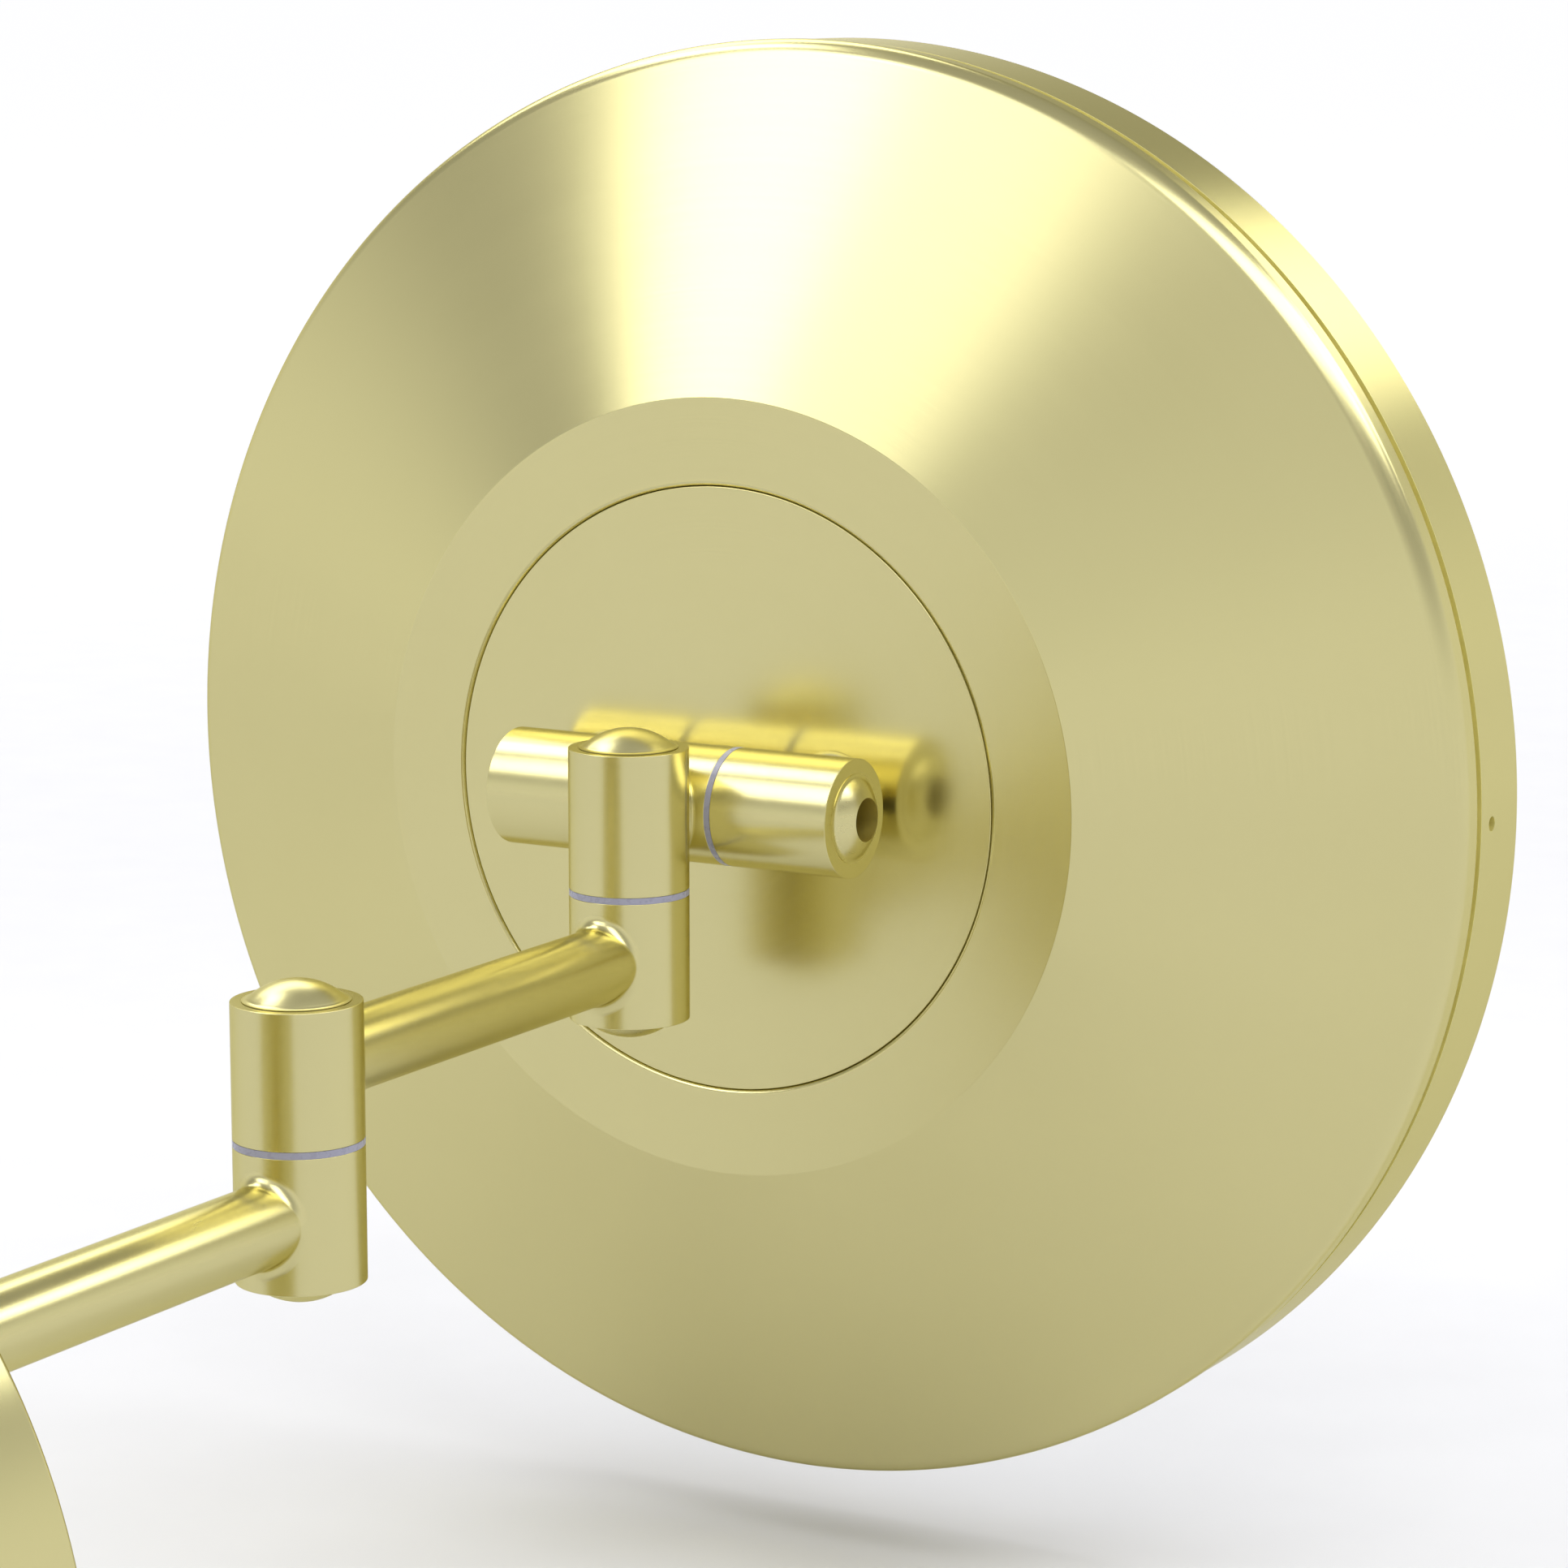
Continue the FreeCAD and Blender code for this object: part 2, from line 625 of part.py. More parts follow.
# Cover plate: the flush disc that carries the tilt barrels
cover_radius = at.cover_diameter / 2
cover_hole_radius = cover_radius + at.cover_gap
cover_disc = on_head(turned("cover_disc", [
    (0, 0),
    (cover_radius, 0),
    (cover_radius, at.cover_thickness),
    (0, at.cover_thickness),
], [(at.cover_edge, cover_radius, ZERO)]))
cover_screw_radius = at.cover_screw_diameter / 2
cover_screw_circle = cover_radius - at.cover_ledge / 2
cover_holes = []
ledge_holes = []
cover_screws = []
for _, across, up in spread(COVER_SCREWS, 45):
    across, up = cover_screw_circle * across, cover_screw_circle * up
    inner_face = at.cover_thickness + at.shell_wall
    length = at.shell_wall + at.cover_screw_bite
    hole_radius = cover_screw_radius + at.screw_play
    cover_holes.append(head_rod("cover_screw_hole", hole_radius, at.cover_screw_bite, across, up,
                                at.cover_thickness, TO_WALL))
    ledge_holes.append(head_rod("ledge_hole", hole_radius, at.shell_wall, across, up, inner_face, TO_WALL))
    shank = head_rod("cover_screw", cover_screw_radius, length, across, up, inner_face, TO_WALL)
    head = head_rod("cover_screw_head", at.cover_screw_diameter, at.screw_head_height, across, up,
                    inner_face, TO_FRONT)
    cover_screws.append(fused("cover_screw_whole", [shank, head]))
for side in (-1, 1):
    cover_holes.append(head_rod("cover_barrel_hole", barrel_screw_hole, at.cover_thickness,
                                foot_offset * side, ZERO, at.cover_thickness, TO_WALL))
kept("cover_plate", cut("cover_cut", cover_disc, cover_holes))
kept("cover_screws", grouped("cover_screw_group", cover_screws))

# Rear shell: a spun cone with a flat middle, a ledge for the cover plate and a rounded outer edge
ring_radius = at.ring_diameter / 2
shell_radius = ring_radius + at.ring_setback
plateau_radius = at.plateau_diameter / 2
slope = at.cone_depth / (shell_radius - plateau_radius)
secant = (slope * slope + 1).root()
rim_inside = shell_radius - at.shell_wall
inner_corner = (rim_inside - plateau_radius) * slope + at.shell_wall * secant
inner_plateau = plateau_radius - at.shell_wall * (secant - 1) / slope
ledge_back = at.cover_thickness + at.shell_wall
ledge_radius = cover_hole_radius - at.cover_ledge
shell = on_head(turned("shell_spun", [
    (cover_hole_radius, 0),
    (plateau_radius, 0),
    (shell_radius, at.cone_depth),
    (shell_radius, at.shell_depth),
    (rim_inside, at.shell_depth),
    (rim_inside, inner_corner),
    (inner_plateau, at.shell_wall),
    (cover_hole_radius + at.shell_wall, at.shell_wall),
    (cover_hole_radius + at.shell_wall, ledge_back),
    (ledge_radius, ledge_back),
    (ledge_radius, at.cover_thickness),
    (cover_hole_radius, at.cover_thickness),
], [
    (at.shell_edge, shell_radius, at.cone_depth),
    (at.shell_edge - at.shell_wall, rim_inside, inner_corner),
    (at.cover_lip, cover_hole_radius, ZERO),
]))
kept("rear_shell", cut("shell_cut", shell, ledge_holes))

# Front ring: the edge band, with a spigot in the shell's rim and a lip round the light
ring_inside = ring_radius - at.ring_wall
ring_back = at.shell_depth + at.ring_gap
ring_front = ring_back + at.ring_width
ring_web = ring_back + at.ring_spigot_wall
lip_back = ring_front - at.ring_lip_thickness
spigot_outside = rim_inside - at.ring_spigot_play
spigot_inside = spigot_outside - at.ring_spigot_wall
band = on_head(turned("ring_band", [
    (spigot_outside, ring_back - at.ring_spigot_length),
    (spigot_outside, ring_back),
    (ring_radius, ring_back),
    (ring_radius, ring_front),
    (ring_radius - at.ring_lip, ring_front),
    (ring_radius - at.ring_lip, lip_back),
    (ring_inside, lip_back),
    (ring_inside, ring_web),
    (spigot_inside, ring_web),
    (spigot_inside, ring_back - at.ring_spigot_length),
], [(at.ring_edge, ring_radius, ring_back), (at.ring_edge, ring_radius, ring_front)]))
tray_radius = ring_inside - at.tray_play
ring_holes = []
ring_screws = []
for angle, across, up in spread(RING_SCREWS, 180):
    outward = Rotation(Vector(0, 1, 0), 90 - angle)
    depth = ring_back + at.ring_screw_inset
    hole_reach = ring_radius - tray_radius + at.ring_wall
    ring_holes.append(head_rod("ring_hole", at.ring_screw_diameter / 2, hole_reach, tray_radius * across,
                               tray_radius * up, depth, outward))
    start = tray_radius + at.screw_play
    screw_reach = ring_radius - at.ring_screw_sink - start
    ring_screws.append(head_rod("ring_screw", at.ring_screw_diameter / 2 - at.screw_play, screw_reach,
                                start * across, start * up, depth, outward))
kept("front_ring", cut("ring_cut", band, ring_holes))
kept("ring_screws", grouped("ring_screw_group", ring_screws))

# Light tray: a pan inside the band, which carries the board, the pad and the diffuser
tray_back = ring_web + at.tray_play
tray_floor = tray_back + at.tray_wall
diffuser_front = lip_back - at.tray_play
tray_front = diffuser_front - at.diffuser_thickness
tray_inside = tray_radius - at.tray_wall
kept("light_tray", on_head(turned("tray_pan", [
    (at.tray_wire_hole / 2, tray_back),
    (tray_radius, tray_back),
    (tray_radius, tray_front),
    (tray_inside, tray_front),
    (tray_inside, tray_floor),
    (at.tray_wire_hole / 2, tray_floor),
])))

# Board: a ring on the tray's floor, with chips evenly round it
board_outside = tray_inside - at.tray_play
board_inside = board_outside - at.board_width
board_face = tray_floor + at.board_thickness
kept("led_board", on_head(turned("board_ring", [
    (board_inside, tray_floor),
    (board_outside, tray_floor),
    (board_outside, board_face),
    (board_inside, board_face),
])))
chip_circle = (board_inside + board_outside) / 2
chips = []
for angle, across, up in spread(LEDS, 90):
    turn = Rotation(Vector(0, 1, 0), 90 - angle)
    along = turn.multVec(Vector(1, 0, 0))
    out = Vector(across, 0, up)
    corner_x, corner_z = [chip_circle * out[i] - at.led_length * (along[i] / 2) - at.led_width * (out[i] / 2)
                          for i in (0, 2)]
    chips.append(block("chip", (at.led_length, at.led_height, at.led_width),
                       (corner_x, head_face - board_face - at.led_height, head_level + corner_z), turn))
kept("leds", grouped("chip_group", chips))

# Diffuser: a frosted ring between the glass and the band's lip
mirror_radius = ring_radius - at.ring_lip - at.light_width
kept("diffuser_ring", on_head(turned("diffuser_blank", [
    (mirror_radius + at.mirror_gap, tray_front),
    (tray_radius, tray_front),
    (tray_radius, diffuser_front),
    (mirror_radius + at.mirror_gap, diffuser_front),
])))


# Mirror glass: a hollow-ground disc, silvered behind
mirror_curve = (mirror_radius * mirror_radius + at.mirror_sag * at.mirror_sag) / (at.mirror_sag * 2)
glass_edge_back = diffuser_front - at.mirror_thickness
glass_back = glass_edge_back - at.mirror_sag
kept("mirror_glass", on_head(turned("glass_disc", [
    (0, glass_back, mirror_curve, 1),
    (mirror_radius, glass_edge_back),
    (mirror_radius, diffuser_front, mirror_curve, -1),
    (0, glass_back + at.mirror_thickness),
])))

# Pad: foam between the tray's floor and the glass
pad_radius = mirror_radius - at.pad_margin
pad_top = glass_back - at.pad_glue
pad_edge = pad_top + mirror_curve - (mirror_curve * mirror_curve - pad_radius * pad_radius).root()
kept("mirror_pad", on_head(turned("pad_disc", [
    (0, tray_floor),
    (pad_radius, tray_floor),
    (pad_radius, pad_edge, mirror_curve, -1),
    (0, pad_top),
])))

# Nothing is written unless every object came out sound
doc.recompute()
faults = [item.Label for item in doc.Objects if {"Invalid", "Error"} & set(item.State)]
faults += [label for label, piece in pieces.items() if piece.Shape.isNull() or not piece.Shape.isValid()]
if faults:
    raise RuntimeError("unsound objects: " + ", ".join(sorted(set(faults))))
os.makedirs("parts", exist_ok=True)
for label, piece in pieces.items():
    piece.Shape.exportStep(f"parts/{label}.step")
print(len(pieces), "pieces written")
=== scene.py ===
import bpy
import math
from mathutils import Euler, Matrix, Vector


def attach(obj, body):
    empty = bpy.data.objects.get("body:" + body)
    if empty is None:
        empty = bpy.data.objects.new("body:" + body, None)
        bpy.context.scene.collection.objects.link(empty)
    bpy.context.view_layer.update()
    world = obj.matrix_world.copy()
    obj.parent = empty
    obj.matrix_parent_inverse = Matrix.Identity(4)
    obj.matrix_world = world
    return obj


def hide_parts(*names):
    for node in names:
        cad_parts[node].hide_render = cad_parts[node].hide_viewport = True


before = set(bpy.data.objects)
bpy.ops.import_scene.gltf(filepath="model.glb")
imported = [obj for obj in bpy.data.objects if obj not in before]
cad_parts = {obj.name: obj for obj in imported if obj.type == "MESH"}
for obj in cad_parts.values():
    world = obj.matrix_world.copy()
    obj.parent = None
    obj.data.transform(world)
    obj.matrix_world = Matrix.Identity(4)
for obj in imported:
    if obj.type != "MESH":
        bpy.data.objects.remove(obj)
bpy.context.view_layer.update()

# Studio: a pale floor just under the canopy's lowest point, in a surround that is pale low down and grey
# above. Soft boxes stand round the head and light the brass. One more lamp, which the brass doesn't
# mirror, gives the floor its soft shadow.
FLOOR_LEVEL = -0.0765
HEAD_MIDDLE = Vector((0, -0.315, 0.0582))
LAMP_DISTANCE = 1.6
PALE_WALL_WAY = (-0.044, 0.838, 0.545)
WHITE = (1.0, 1.0, 1.0, 1)
COOL_GREY = (0.385, 0.385, 0.42, 1)
scene = bpy.context.scene
scene.view_settings.view_transform = "Standard"


class Wire:
    """One output of a node tree. Sums on it add Math nodes."""

    def __init__(self, tree, socket=None):
        self.tree = tree
        self.socket = socket

    def node(self, kind, settings=None, inputs=None, output=0):
        """Adds a node of any kind, sets it up, joins its sockets and gives one of its outputs."""
        node = self.tree.nodes.new(kind)
        for name, value in (settings or {}).items():
            if name == "stops":
                for stop in value[len(node.color_ramp.elements):]:
                    node.color_ramp.elements.new(stop[0])
                for element, (place, grey) in zip(node.color_ramp.elements, value):
                    element.position = place
                    element.color = (grey, grey, grey, 1)
            else:
                setattr(node, name, value)
        for name, value in (inputs or {}).items():
            if isinstance(value, Wire):
                self.tree.links.new(value.socket, node.inputs[name])
            else:
                node.inputs[name].default_value = value
        return Wire(self.tree, node.outputs[output] if node.outputs else None)

    def math(self, operation, first, second=0.0):
        return self.node("ShaderNodeMath", {"operation": operation}, {0: first, 1: second})

    def mixed(self, amount, low, high):
        """A colour between two others."""
        return self.node("ShaderNodeMix", {"data_type": "RGBA"}, {0: amount, "A": low, "B": high}, "Result")

    def __add__(self, other):
        return self.math("ADD", self, other)

    def __sub__(self, other):
        return self.math("SUBTRACT", self, other)

    def __rsub__(self, other):
        return self.math("SUBTRACT", other, self)

    def __mul__(self, other):
        return self.math("MULTIPLY", self, other)

    __radd__ = __add__
    __rmul__ = __mul__


def finish_wire(name):
    """A new finish, the wire that its nodes hang from and the place on the piece."""
    finish = bpy.data.materials.new(name)
    finish.use_nodes = True
    finish.node_tree.nodes.clear()
    wire = Wire(finish.node_tree)
    return finish, wire, wire.node("ShaderNodeTexCoord", output="Object")


def surface(wire, sockets):
    """Ends a finish in one shader."""
    skin = wire.node("ShaderNodeBsdfPrincipled", inputs=sockets)
    wire.node("ShaderNodeOutputMaterial", inputs={"Surface": skin})


world = bpy.data.worlds.new("studio")
scene.world = world
world.use_nodes = True
world.node_tree.nodes.clear()
sky = Wire(world.node_tree)
direction = sky.node("ShaderNodeTexCoord", output="Generated")
height = 0.5 + 0.5 * sky.node("ShaderNodeSeparateXYZ", inputs={0: direction}, output="Z")
upwards = sky.node("ShaderNodeValToRGB", {"stops": [
    (0.00, 0.86), (0.50, 0.89), (0.56, 0.85), (0.59, 0.80), (0.61, 0.73), (0.64, 0.61), (0.67, 0.48),
    (0.72, 0.38), (0.79, 0.37), (1.00, 0.43),
]}, {0: height})
behind = sky.node("ShaderNodeVectorMath", {"operation": "DOT_PRODUCT"},
                  {0: direction, 1: PALE_WALL_WAY}, "Value")
pale_wall = sky.node("ShaderNodeMapRange", {"interpolation_type": "SMOOTHSTEP"},
                     {"Value": behind, "From Min": 0.90, "From Max": 0.985, "To Max": 0.26})
mirrored = sky.node("ShaderNodeMix", {"data_type": "RGBA", "blend_type": "ADD"},
                    {0: 1.0, "A": upwards, "B": pale_wall}, "Result")
bounced = sky.node("ShaderNodeLightPath", output="Is Diffuse Ray")
seen = sky.node("ShaderNodeLightPath", output="Is Camera Ray")
lit = sky.mixed(bounced, mirrored, COOL_GREY)
surround = sky.node("ShaderNodeBackground", inputs={"Color": sky.mixed(seen, lit, WHITE)})
sky.node("ShaderNodeOutputWorld", inputs={"Surface": surround})


def soft_box(name, azimuth, elevation, size, brightness):
    """A lamp with a rectangular face of this brightness that looks at the head from a direction."""
    a = math.radians(azimuth)
    e = math.radians(elevation)
    way = Vector((math.sin(a) * math.cos(e), -math.cos(a) * math.cos(e), math.sin(e)))
    lamp = bpy.data.lights.new(name, "AREA")
    lamp.shape = "RECTANGLE"
    lamp.size, lamp.size_y = size
    lamp.energy = brightness * math.pi * size[0] * size[1]
    box = bpy.data.objects.new(name, lamp)
    box.location = HEAD_MIDDLE + way * LAMP_DISTANCE
    box.rotation_mode = "QUATERNION"
    box.rotation_quaternion = (-way).to_track_quat("-Z", "Y")
    scene.collection.objects.link(box)
    return box


soft_box("soft_box_camera_side", 140, 41, (0.54, 0.74), 2.9)
soft_box("soft_box_camera_side_dim", 164, 44, (0.60, 0.92), 1.38)
soft_box("soft_box_overhead", 92, 56, (0.62, 0.54), 3.4)
soft_box("soft_box_far_side", 50, 41, (1.14, 0.71), 2.7)
soft_box("soft_box_near_side", 248, 53, (2.00, 0.75), 2.7)
soft_box("soft_box_near_front", 303, 42, (0.73, 0.50), 2.6)
soft_box("soft_box_mirror_side", 326, 32, (0.55, 0.45), 3.2)
soft_box("soft_box_mirror_front", 350.5, 26, (0.40, 0.44), 2.15)
soft_box("floor_lamp", 180, 76, (1.40, 1.40), 0.95).visible_glossy = False

bpy.ops.object.select_all(action="DESELECT")
bpy.ops.mesh.primitive_circle_add(vertices=96, radius=60.0, fill_type="NGON", location=(0, 0, FLOOR_LEVEL))
floor = bpy.context.object
floor.name = "studio_floor"
bpy.ops.object.transform_apply()
floor_paint, wire, place = finish_wire("floor_paint")
grain = wire.node("ShaderNodeTexNoise", inputs={"Vector": place, "Scale": 40.0})
# The floor glows more the farther it lies from the head, with none within 0.5 m and 0.7 at 2.5 m: painted
# light that keeps the far floor white.
away = wire.node("ShaderNodeVectorMath", {"operation": "DISTANCE"},
                 {0: place, 1: (0, -0.3, FLOOR_LEVEL)}, "Value")
sweep = wire.node("ShaderNodeMapRange", {"interpolation_type": "SMOOTHSTEP"},
                  {"Value": away, "From Min": 0.5, "From Max": 2.5, "To Max": 0.7})
# In reflections the floor's paint and glow are 19% darker: painted shade on the mirrored floor.
reflection_dimming = 1.0 - 0.19 * wire.node("ShaderNodeLightPath", output="Is Glossy Ray")
paint = (grain * 0.03 + 0.73) * reflection_dimming
glow = sweep * reflection_dimming
surface(wire, {
    "Base Color": wire.node("ShaderNodeCombineColor", inputs={0: paint, 1: paint, 2: paint}),
    "Roughness": 0.9, "Specular IOR Level": 0.0,
    "Emission Color": wire.node("ShaderNodeCombineColor", inputs={0: glow, 1: glow, 2: glow}),
    "Emission Strength": 1.0,
})
floor.data.materials.append(floor_paint)

camera = bpy.data.objects.new("camera", bpy.data.cameras.new("camera"))
scene.collection.objects.link(camera)
camera.data.lens = 111.84
camera.data.sensor_width = 36.0
camera.data.clip_start = 0.01
camera.data.clip_end = 200.0
camera.location = (-0.39699, 0.37502, 0.19519)
camera.rotation_mode = "QUATERNION"
camera.rotation_quaternion = Vector((0.49071, -0.85419, -0.17195)).to_track_quat("-Z", "Y")
scene.camera = camera

# Mounting bracket: a bar pressed from 2 mm zinc-plated steel, screwed to the wall box through two slots.
# Its ends are turned up into ears that the canopy's side screws bite into.
MM = 0.001
TO_FRONT = (math.pi / 2, 0, 0)
TO_RIGHT = (0, math.pi / 2, 0)
CANOPY_BORE = 74.5
BRACKET_REACH = CANOPY_BORE - 0.2
BRACKET_WIDTH = 30.0
BRACKET_SHEET = 2.0
EAR_LENGTH = 16.0
SLOT_SPACING = 88.9
SLOT_LENGTH = 14.0
SLOT_WIDTH = 5.0
SIDE_SCREW = 2.0
SIDE_SCREW_SETBACK = 10.0
SCREW_PLAY = 0.05


def chosen(*pieces):
    """Selects these pieces alone, the first one active."""
    bpy.ops.object.select_all(action="DESELECT")
    for piece in pieces:
        piece.select_set(True)
    bpy.context.view_layer.objects.active = pieces[0]


def set_in_place(piece, place, facing):
    """Closes the seams of a mesh that is being edited, turns its faces outwards and puts it in place."""
    bpy.ops.mesh.select_all(action="SELECT")
    bpy.ops.mesh.remove_doubles(threshold=1e-7)
    bpy.ops.mesh.normals_make_consistent(inside=False)
    bpy.ops.object.mode_set(mode="OBJECT")
    piece.rotation_euler = facing
    piece.location = Vector(place) * MM
    bpy.ops.object.transform_apply(location=True, rotation=True, scale=True)
    return piece


def turned(name, outline, place, facing, segments=96, closed=False):
    """Turns an outline of (radius, height) about its height: a ring is drawn and pulled from corner to
    corner. A closed outline runs back to its start, and an open one ends in a flat face or a point."""
    outline = [Vector(p) * MM for p in outline]
    bpy.ops.object.select_all(action="DESELECT")
    bpy.ops.mesh.primitive_circle_add(vertices=segments, radius=outline[0].x, location=(0, 0, outline[0].y))
    piece = bpy.context.object
    piece.name = name
    bpy.ops.object.transform_apply()
    bpy.ops.object.mode_set(mode="EDIT")
    bpy.ops.mesh.select_all(action="SELECT")
    if not closed:
        bpy.ops.mesh.edge_face_add()
    for last, here in zip(outline, outline[1:] + outline[:1] * closed):
        bpy.ops.mesh.extrude_edges_move(TRANSFORM_OT_translate={"value": (0, 0, here.y - last.y)})
        if here.x == 0:
            bpy.ops.mesh.merge(type="CENTER")
        elif here.x != last.x:
            grow = here.x / last.x
            bpy.ops.transform.resize(value=(grow, grow, 1), center_override=(0, 0, here.y))
    if not closed and outline[-1].x > 0:
        bpy.ops.mesh.edge_face_add()
    return set_in_place(piece, place, facing)


def block(name, sides, middle):
    """A box of these sides about its middle."""
    bpy.ops.object.select_all(action="DESELECT")
    bpy.ops.mesh.primitive_cube_add(size=1, location=Vector(middle) * MM, scale=Vector(sides) * MM)
    bpy.context.object.name = name
    bpy.ops.object.transform_apply(location=True, rotation=True, scale=True)
    return bpy.context.object


def worked(piece, tool, operation="DIFFERENCE"):
    """Cuts a piece with a tool, or keeps what lies inside it, and takes the tool away."""
    chosen(piece)
    step = piece.modifiers.new("tool", "BOOLEAN")
    step.operation = operation
    step.solver = "EXACT"
    step.object = tool
    bpy.ops.object.modifier_apply(modifier=step.name)
    bpy.data.objects.remove(tool)
    return piece


def bit(radius, length, place, facing, sides=32):
    """A round or many-sided tool for a hole, from its place along its facing."""
    return turned("bit", [(radius, 0), (radius, length)], place, facing, sides)


def slot_bit(middle):
    """A tool for one of the bar's slots: a round one whose halves are drawn apart."""
    tool = bit(SLOT_WIDTH / 2, 3 * BRACKET_SHEET, (middle, BRACKET_SHEET, 0), TO_FRONT)
    for vertex in tool.data.vertices:
        vertex.co.x += math.copysign((SLOT_LENGTH - SLOT_WIDTH) / 2 * MM, vertex.co.x - middle * MM)
    return tool


def side_bit():
    """A tool for the two side screws' holes, right across the canopy."""
    return bit(SIDE_SCREW + SCREW_PLAY, 160.0, (-80.0, -SIDE_SCREW_SETBACK, 0), TO_RIGHT)


def softened(piece, width):
    """Rounds the sharp edges of a piece a little."""
    chosen(piece)
    edge = piece.modifiers.new("edge", "BEVEL")
    edge.width = width * MM
    edge.segments = 2
    edge.limit_method = "ANGLE"
    edge.angle_limit = math.radians(40)
    bpy.ops.object.modifier_apply(modifier=edge.name)
    return piece


def polished(piece, finish):
    """Gives a piece its finish and even shading: round faces smooth, flat ones flat."""
    chosen(piece)
    piece.data.materials.clear()
    piece.data.materials.append(finish)
    bpy.ops.object.shade_smooth_by_angle(angle=math.radians(32))
    shading = piece.modifiers.new("shading", "WEIGHTED_NORMAL")
    shading.keep_sharp = True
    shading.weight = 80
    bpy.ops.object.modifier_apply(modifier=shading.name)
    return piece


def fitted(piece, body, slot, *nodes):
    """Lets a piece ride on a body in the place of its plain solids."""
    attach(piece, body)
    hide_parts(*nodes)


zinc, wire, place = finish_wire("zinc_plate")
bloom = wire.node("ShaderNodeTexNoise", inputs={
    "Vector": place, "Scale": 160.0, "Detail": 6.0, "Roughness": 0.65,
})
surface(wire, {
    "Base Color": wire.mixed(bloom, (0.52, 0.53, 0.55, 1), (0.66, 0.67, 0.68, 1)),
    "Metallic": 1.0,
    "Roughness": bloom * 0.25 + 0.22,
    "Normal": wire.node("ShaderNodeBump", inputs={"Strength": 0.12, "Distance": 0.0002, "Height": bloom}),
})
bracket = block("pressed_bracket", (2 * BRACKET_REACH, EAR_LENGTH, BRACKET_WIDTH), (0, -EAR_LENGTH / 2, 0))
fold = (2 * (BRACKET_REACH - BRACKET_SHEET), EAR_LENGTH + 4.0, BRACKET_WIDTH + 10.0)
worked(bracket, block("fold", fold, (0, -BRACKET_SHEET - fold[1] / 2, 0)))
worked(bracket, turned("drum", [
    (BRACKET_REACH, -1.0), (BRACKET_REACH, EAR_LENGTH + 4.0),
], (0, 0, 0), TO_FRONT, 192), "INTERSECT")
for side in (-1, 1):
    worked(bracket, slot_bit(side * SLOT_SPACING / 2))
worked(bracket, side_bit())
fitted(polished(softened(bracket, 0.25), zinc), "wall_mount", "steel", "mounting_bracket")

# Driver: a potted box on the bracket's bar that feeds the light through the hollow arms.
# Its case is moulded in white plastic, and its open side is filled with black resin, nearly to the edge.
DRIVER = (66.0, 15.0, 26.0)
DRIVER_FRONT = -BRACKET_SHEET - DRIVER[1]
CASE_WALL = 1.5
CASE_CORNER = 2.0
RESIN_SINK = 0.4


def moulding(name, dark, light, roughness, scale):
    """A plain moulded, painted or foamed surface with a fine grain."""
    finish, wire, place = finish_wire(name)
    grain = wire.node("ShaderNodeTexNoise", inputs={"Vector": place, "Scale": scale, "Detail": 4.0})
    surface(wire, {
        "Base Color": wire.mixed(grain, dark, light),
        "Roughness": grain * 0.15 + roughness,
        "Normal": wire.node("ShaderNodeBump", inputs={
            "Strength": 0.2, "Distance": 0.0001, "Height": grain,
        }),
    })
    return finish


def lined(piece, lining, test):
    """Gives the faces whose middle, in millimetres, and normal pass a test a second finish."""
    piece.data.materials.append(lining)
    for face in piece.data.polygons:
        if test(face.center / MM, face.normal):
            face.material_index = 1


def opened(piece, kind, test):
    """Starts to edit a piece with only those of its edges or polygons selected that pass a test."""
    chosen(piece)
    bpy.ops.object.mode_set(mode="EDIT")
    bpy.ops.mesh.select_all(action="DESELECT")
    bpy.ops.object.mode_set(mode="OBJECT")
    for part in getattr(piece.data, kind):
        part.select = test(part)
    bpy.ops.object.mode_set(mode="EDIT")


def runs_outwards(edge):
    """True for the driver's four edges that run from the wall to the front."""
    start, end = (driver.data.vertices[i].co for i in edge.vertices)
    return abs(start.y - end.y) > 0.5 * DRIVER[1] * MM


case_plastic = moulding("driver_plastic", (0.70, 0.70, 0.68, 1), (0.78, 0.78, 0.76, 1), 0.4, 600.0)
resin = moulding("black_resin", (0.010, 0.010, 0.011, 1), (0.025, 0.025, 0.027, 1), 0.25, 300.0)
driver = block("driver_case", DRIVER, (0, -BRACKET_SHEET - DRIVER[1] / 2, 0))
opened(driver, "edges", runs_outwards)
bpy.ops.mesh.bevel(offset=CASE_CORNER * MM, segments=5)
bpy.ops.object.mode_set(mode="OBJECT")
opened(driver, "polygons", lambda face: face.normal.y < -0.9)
bpy.ops.mesh.inset(thickness=CASE_WALL * MM)
bpy.ops.mesh.extrude_region_move(TRANSFORM_OT_translate={"value": (0, RESIN_SINK * MM, 0)})
bpy.ops.object.mode_set(mode="OBJECT")
polished(softened(driver, 0.3), case_plastic)
lined(driver, resin, lambda middle, normal: normal.y < -0.9 and middle.y > DRIVER_FRONT + RESIN_SINK / 2)
fitted(driver, "wall_mount", "driver_case", "led_driver")

# Wall canopy: a shallow drum spun from brass sheet, open to the wall, that hides the wall box.
# It is lacquered outside like all the brass, and left raw inside.
CANOPY = 76.0
CANOPY_DEPTH = 32.0
CANOPY_FLOOR = CANOPY_DEPTH - (CANOPY - CANOPY_BORE)
NECK_LEVEL = -6.0
TAIL = 5.0


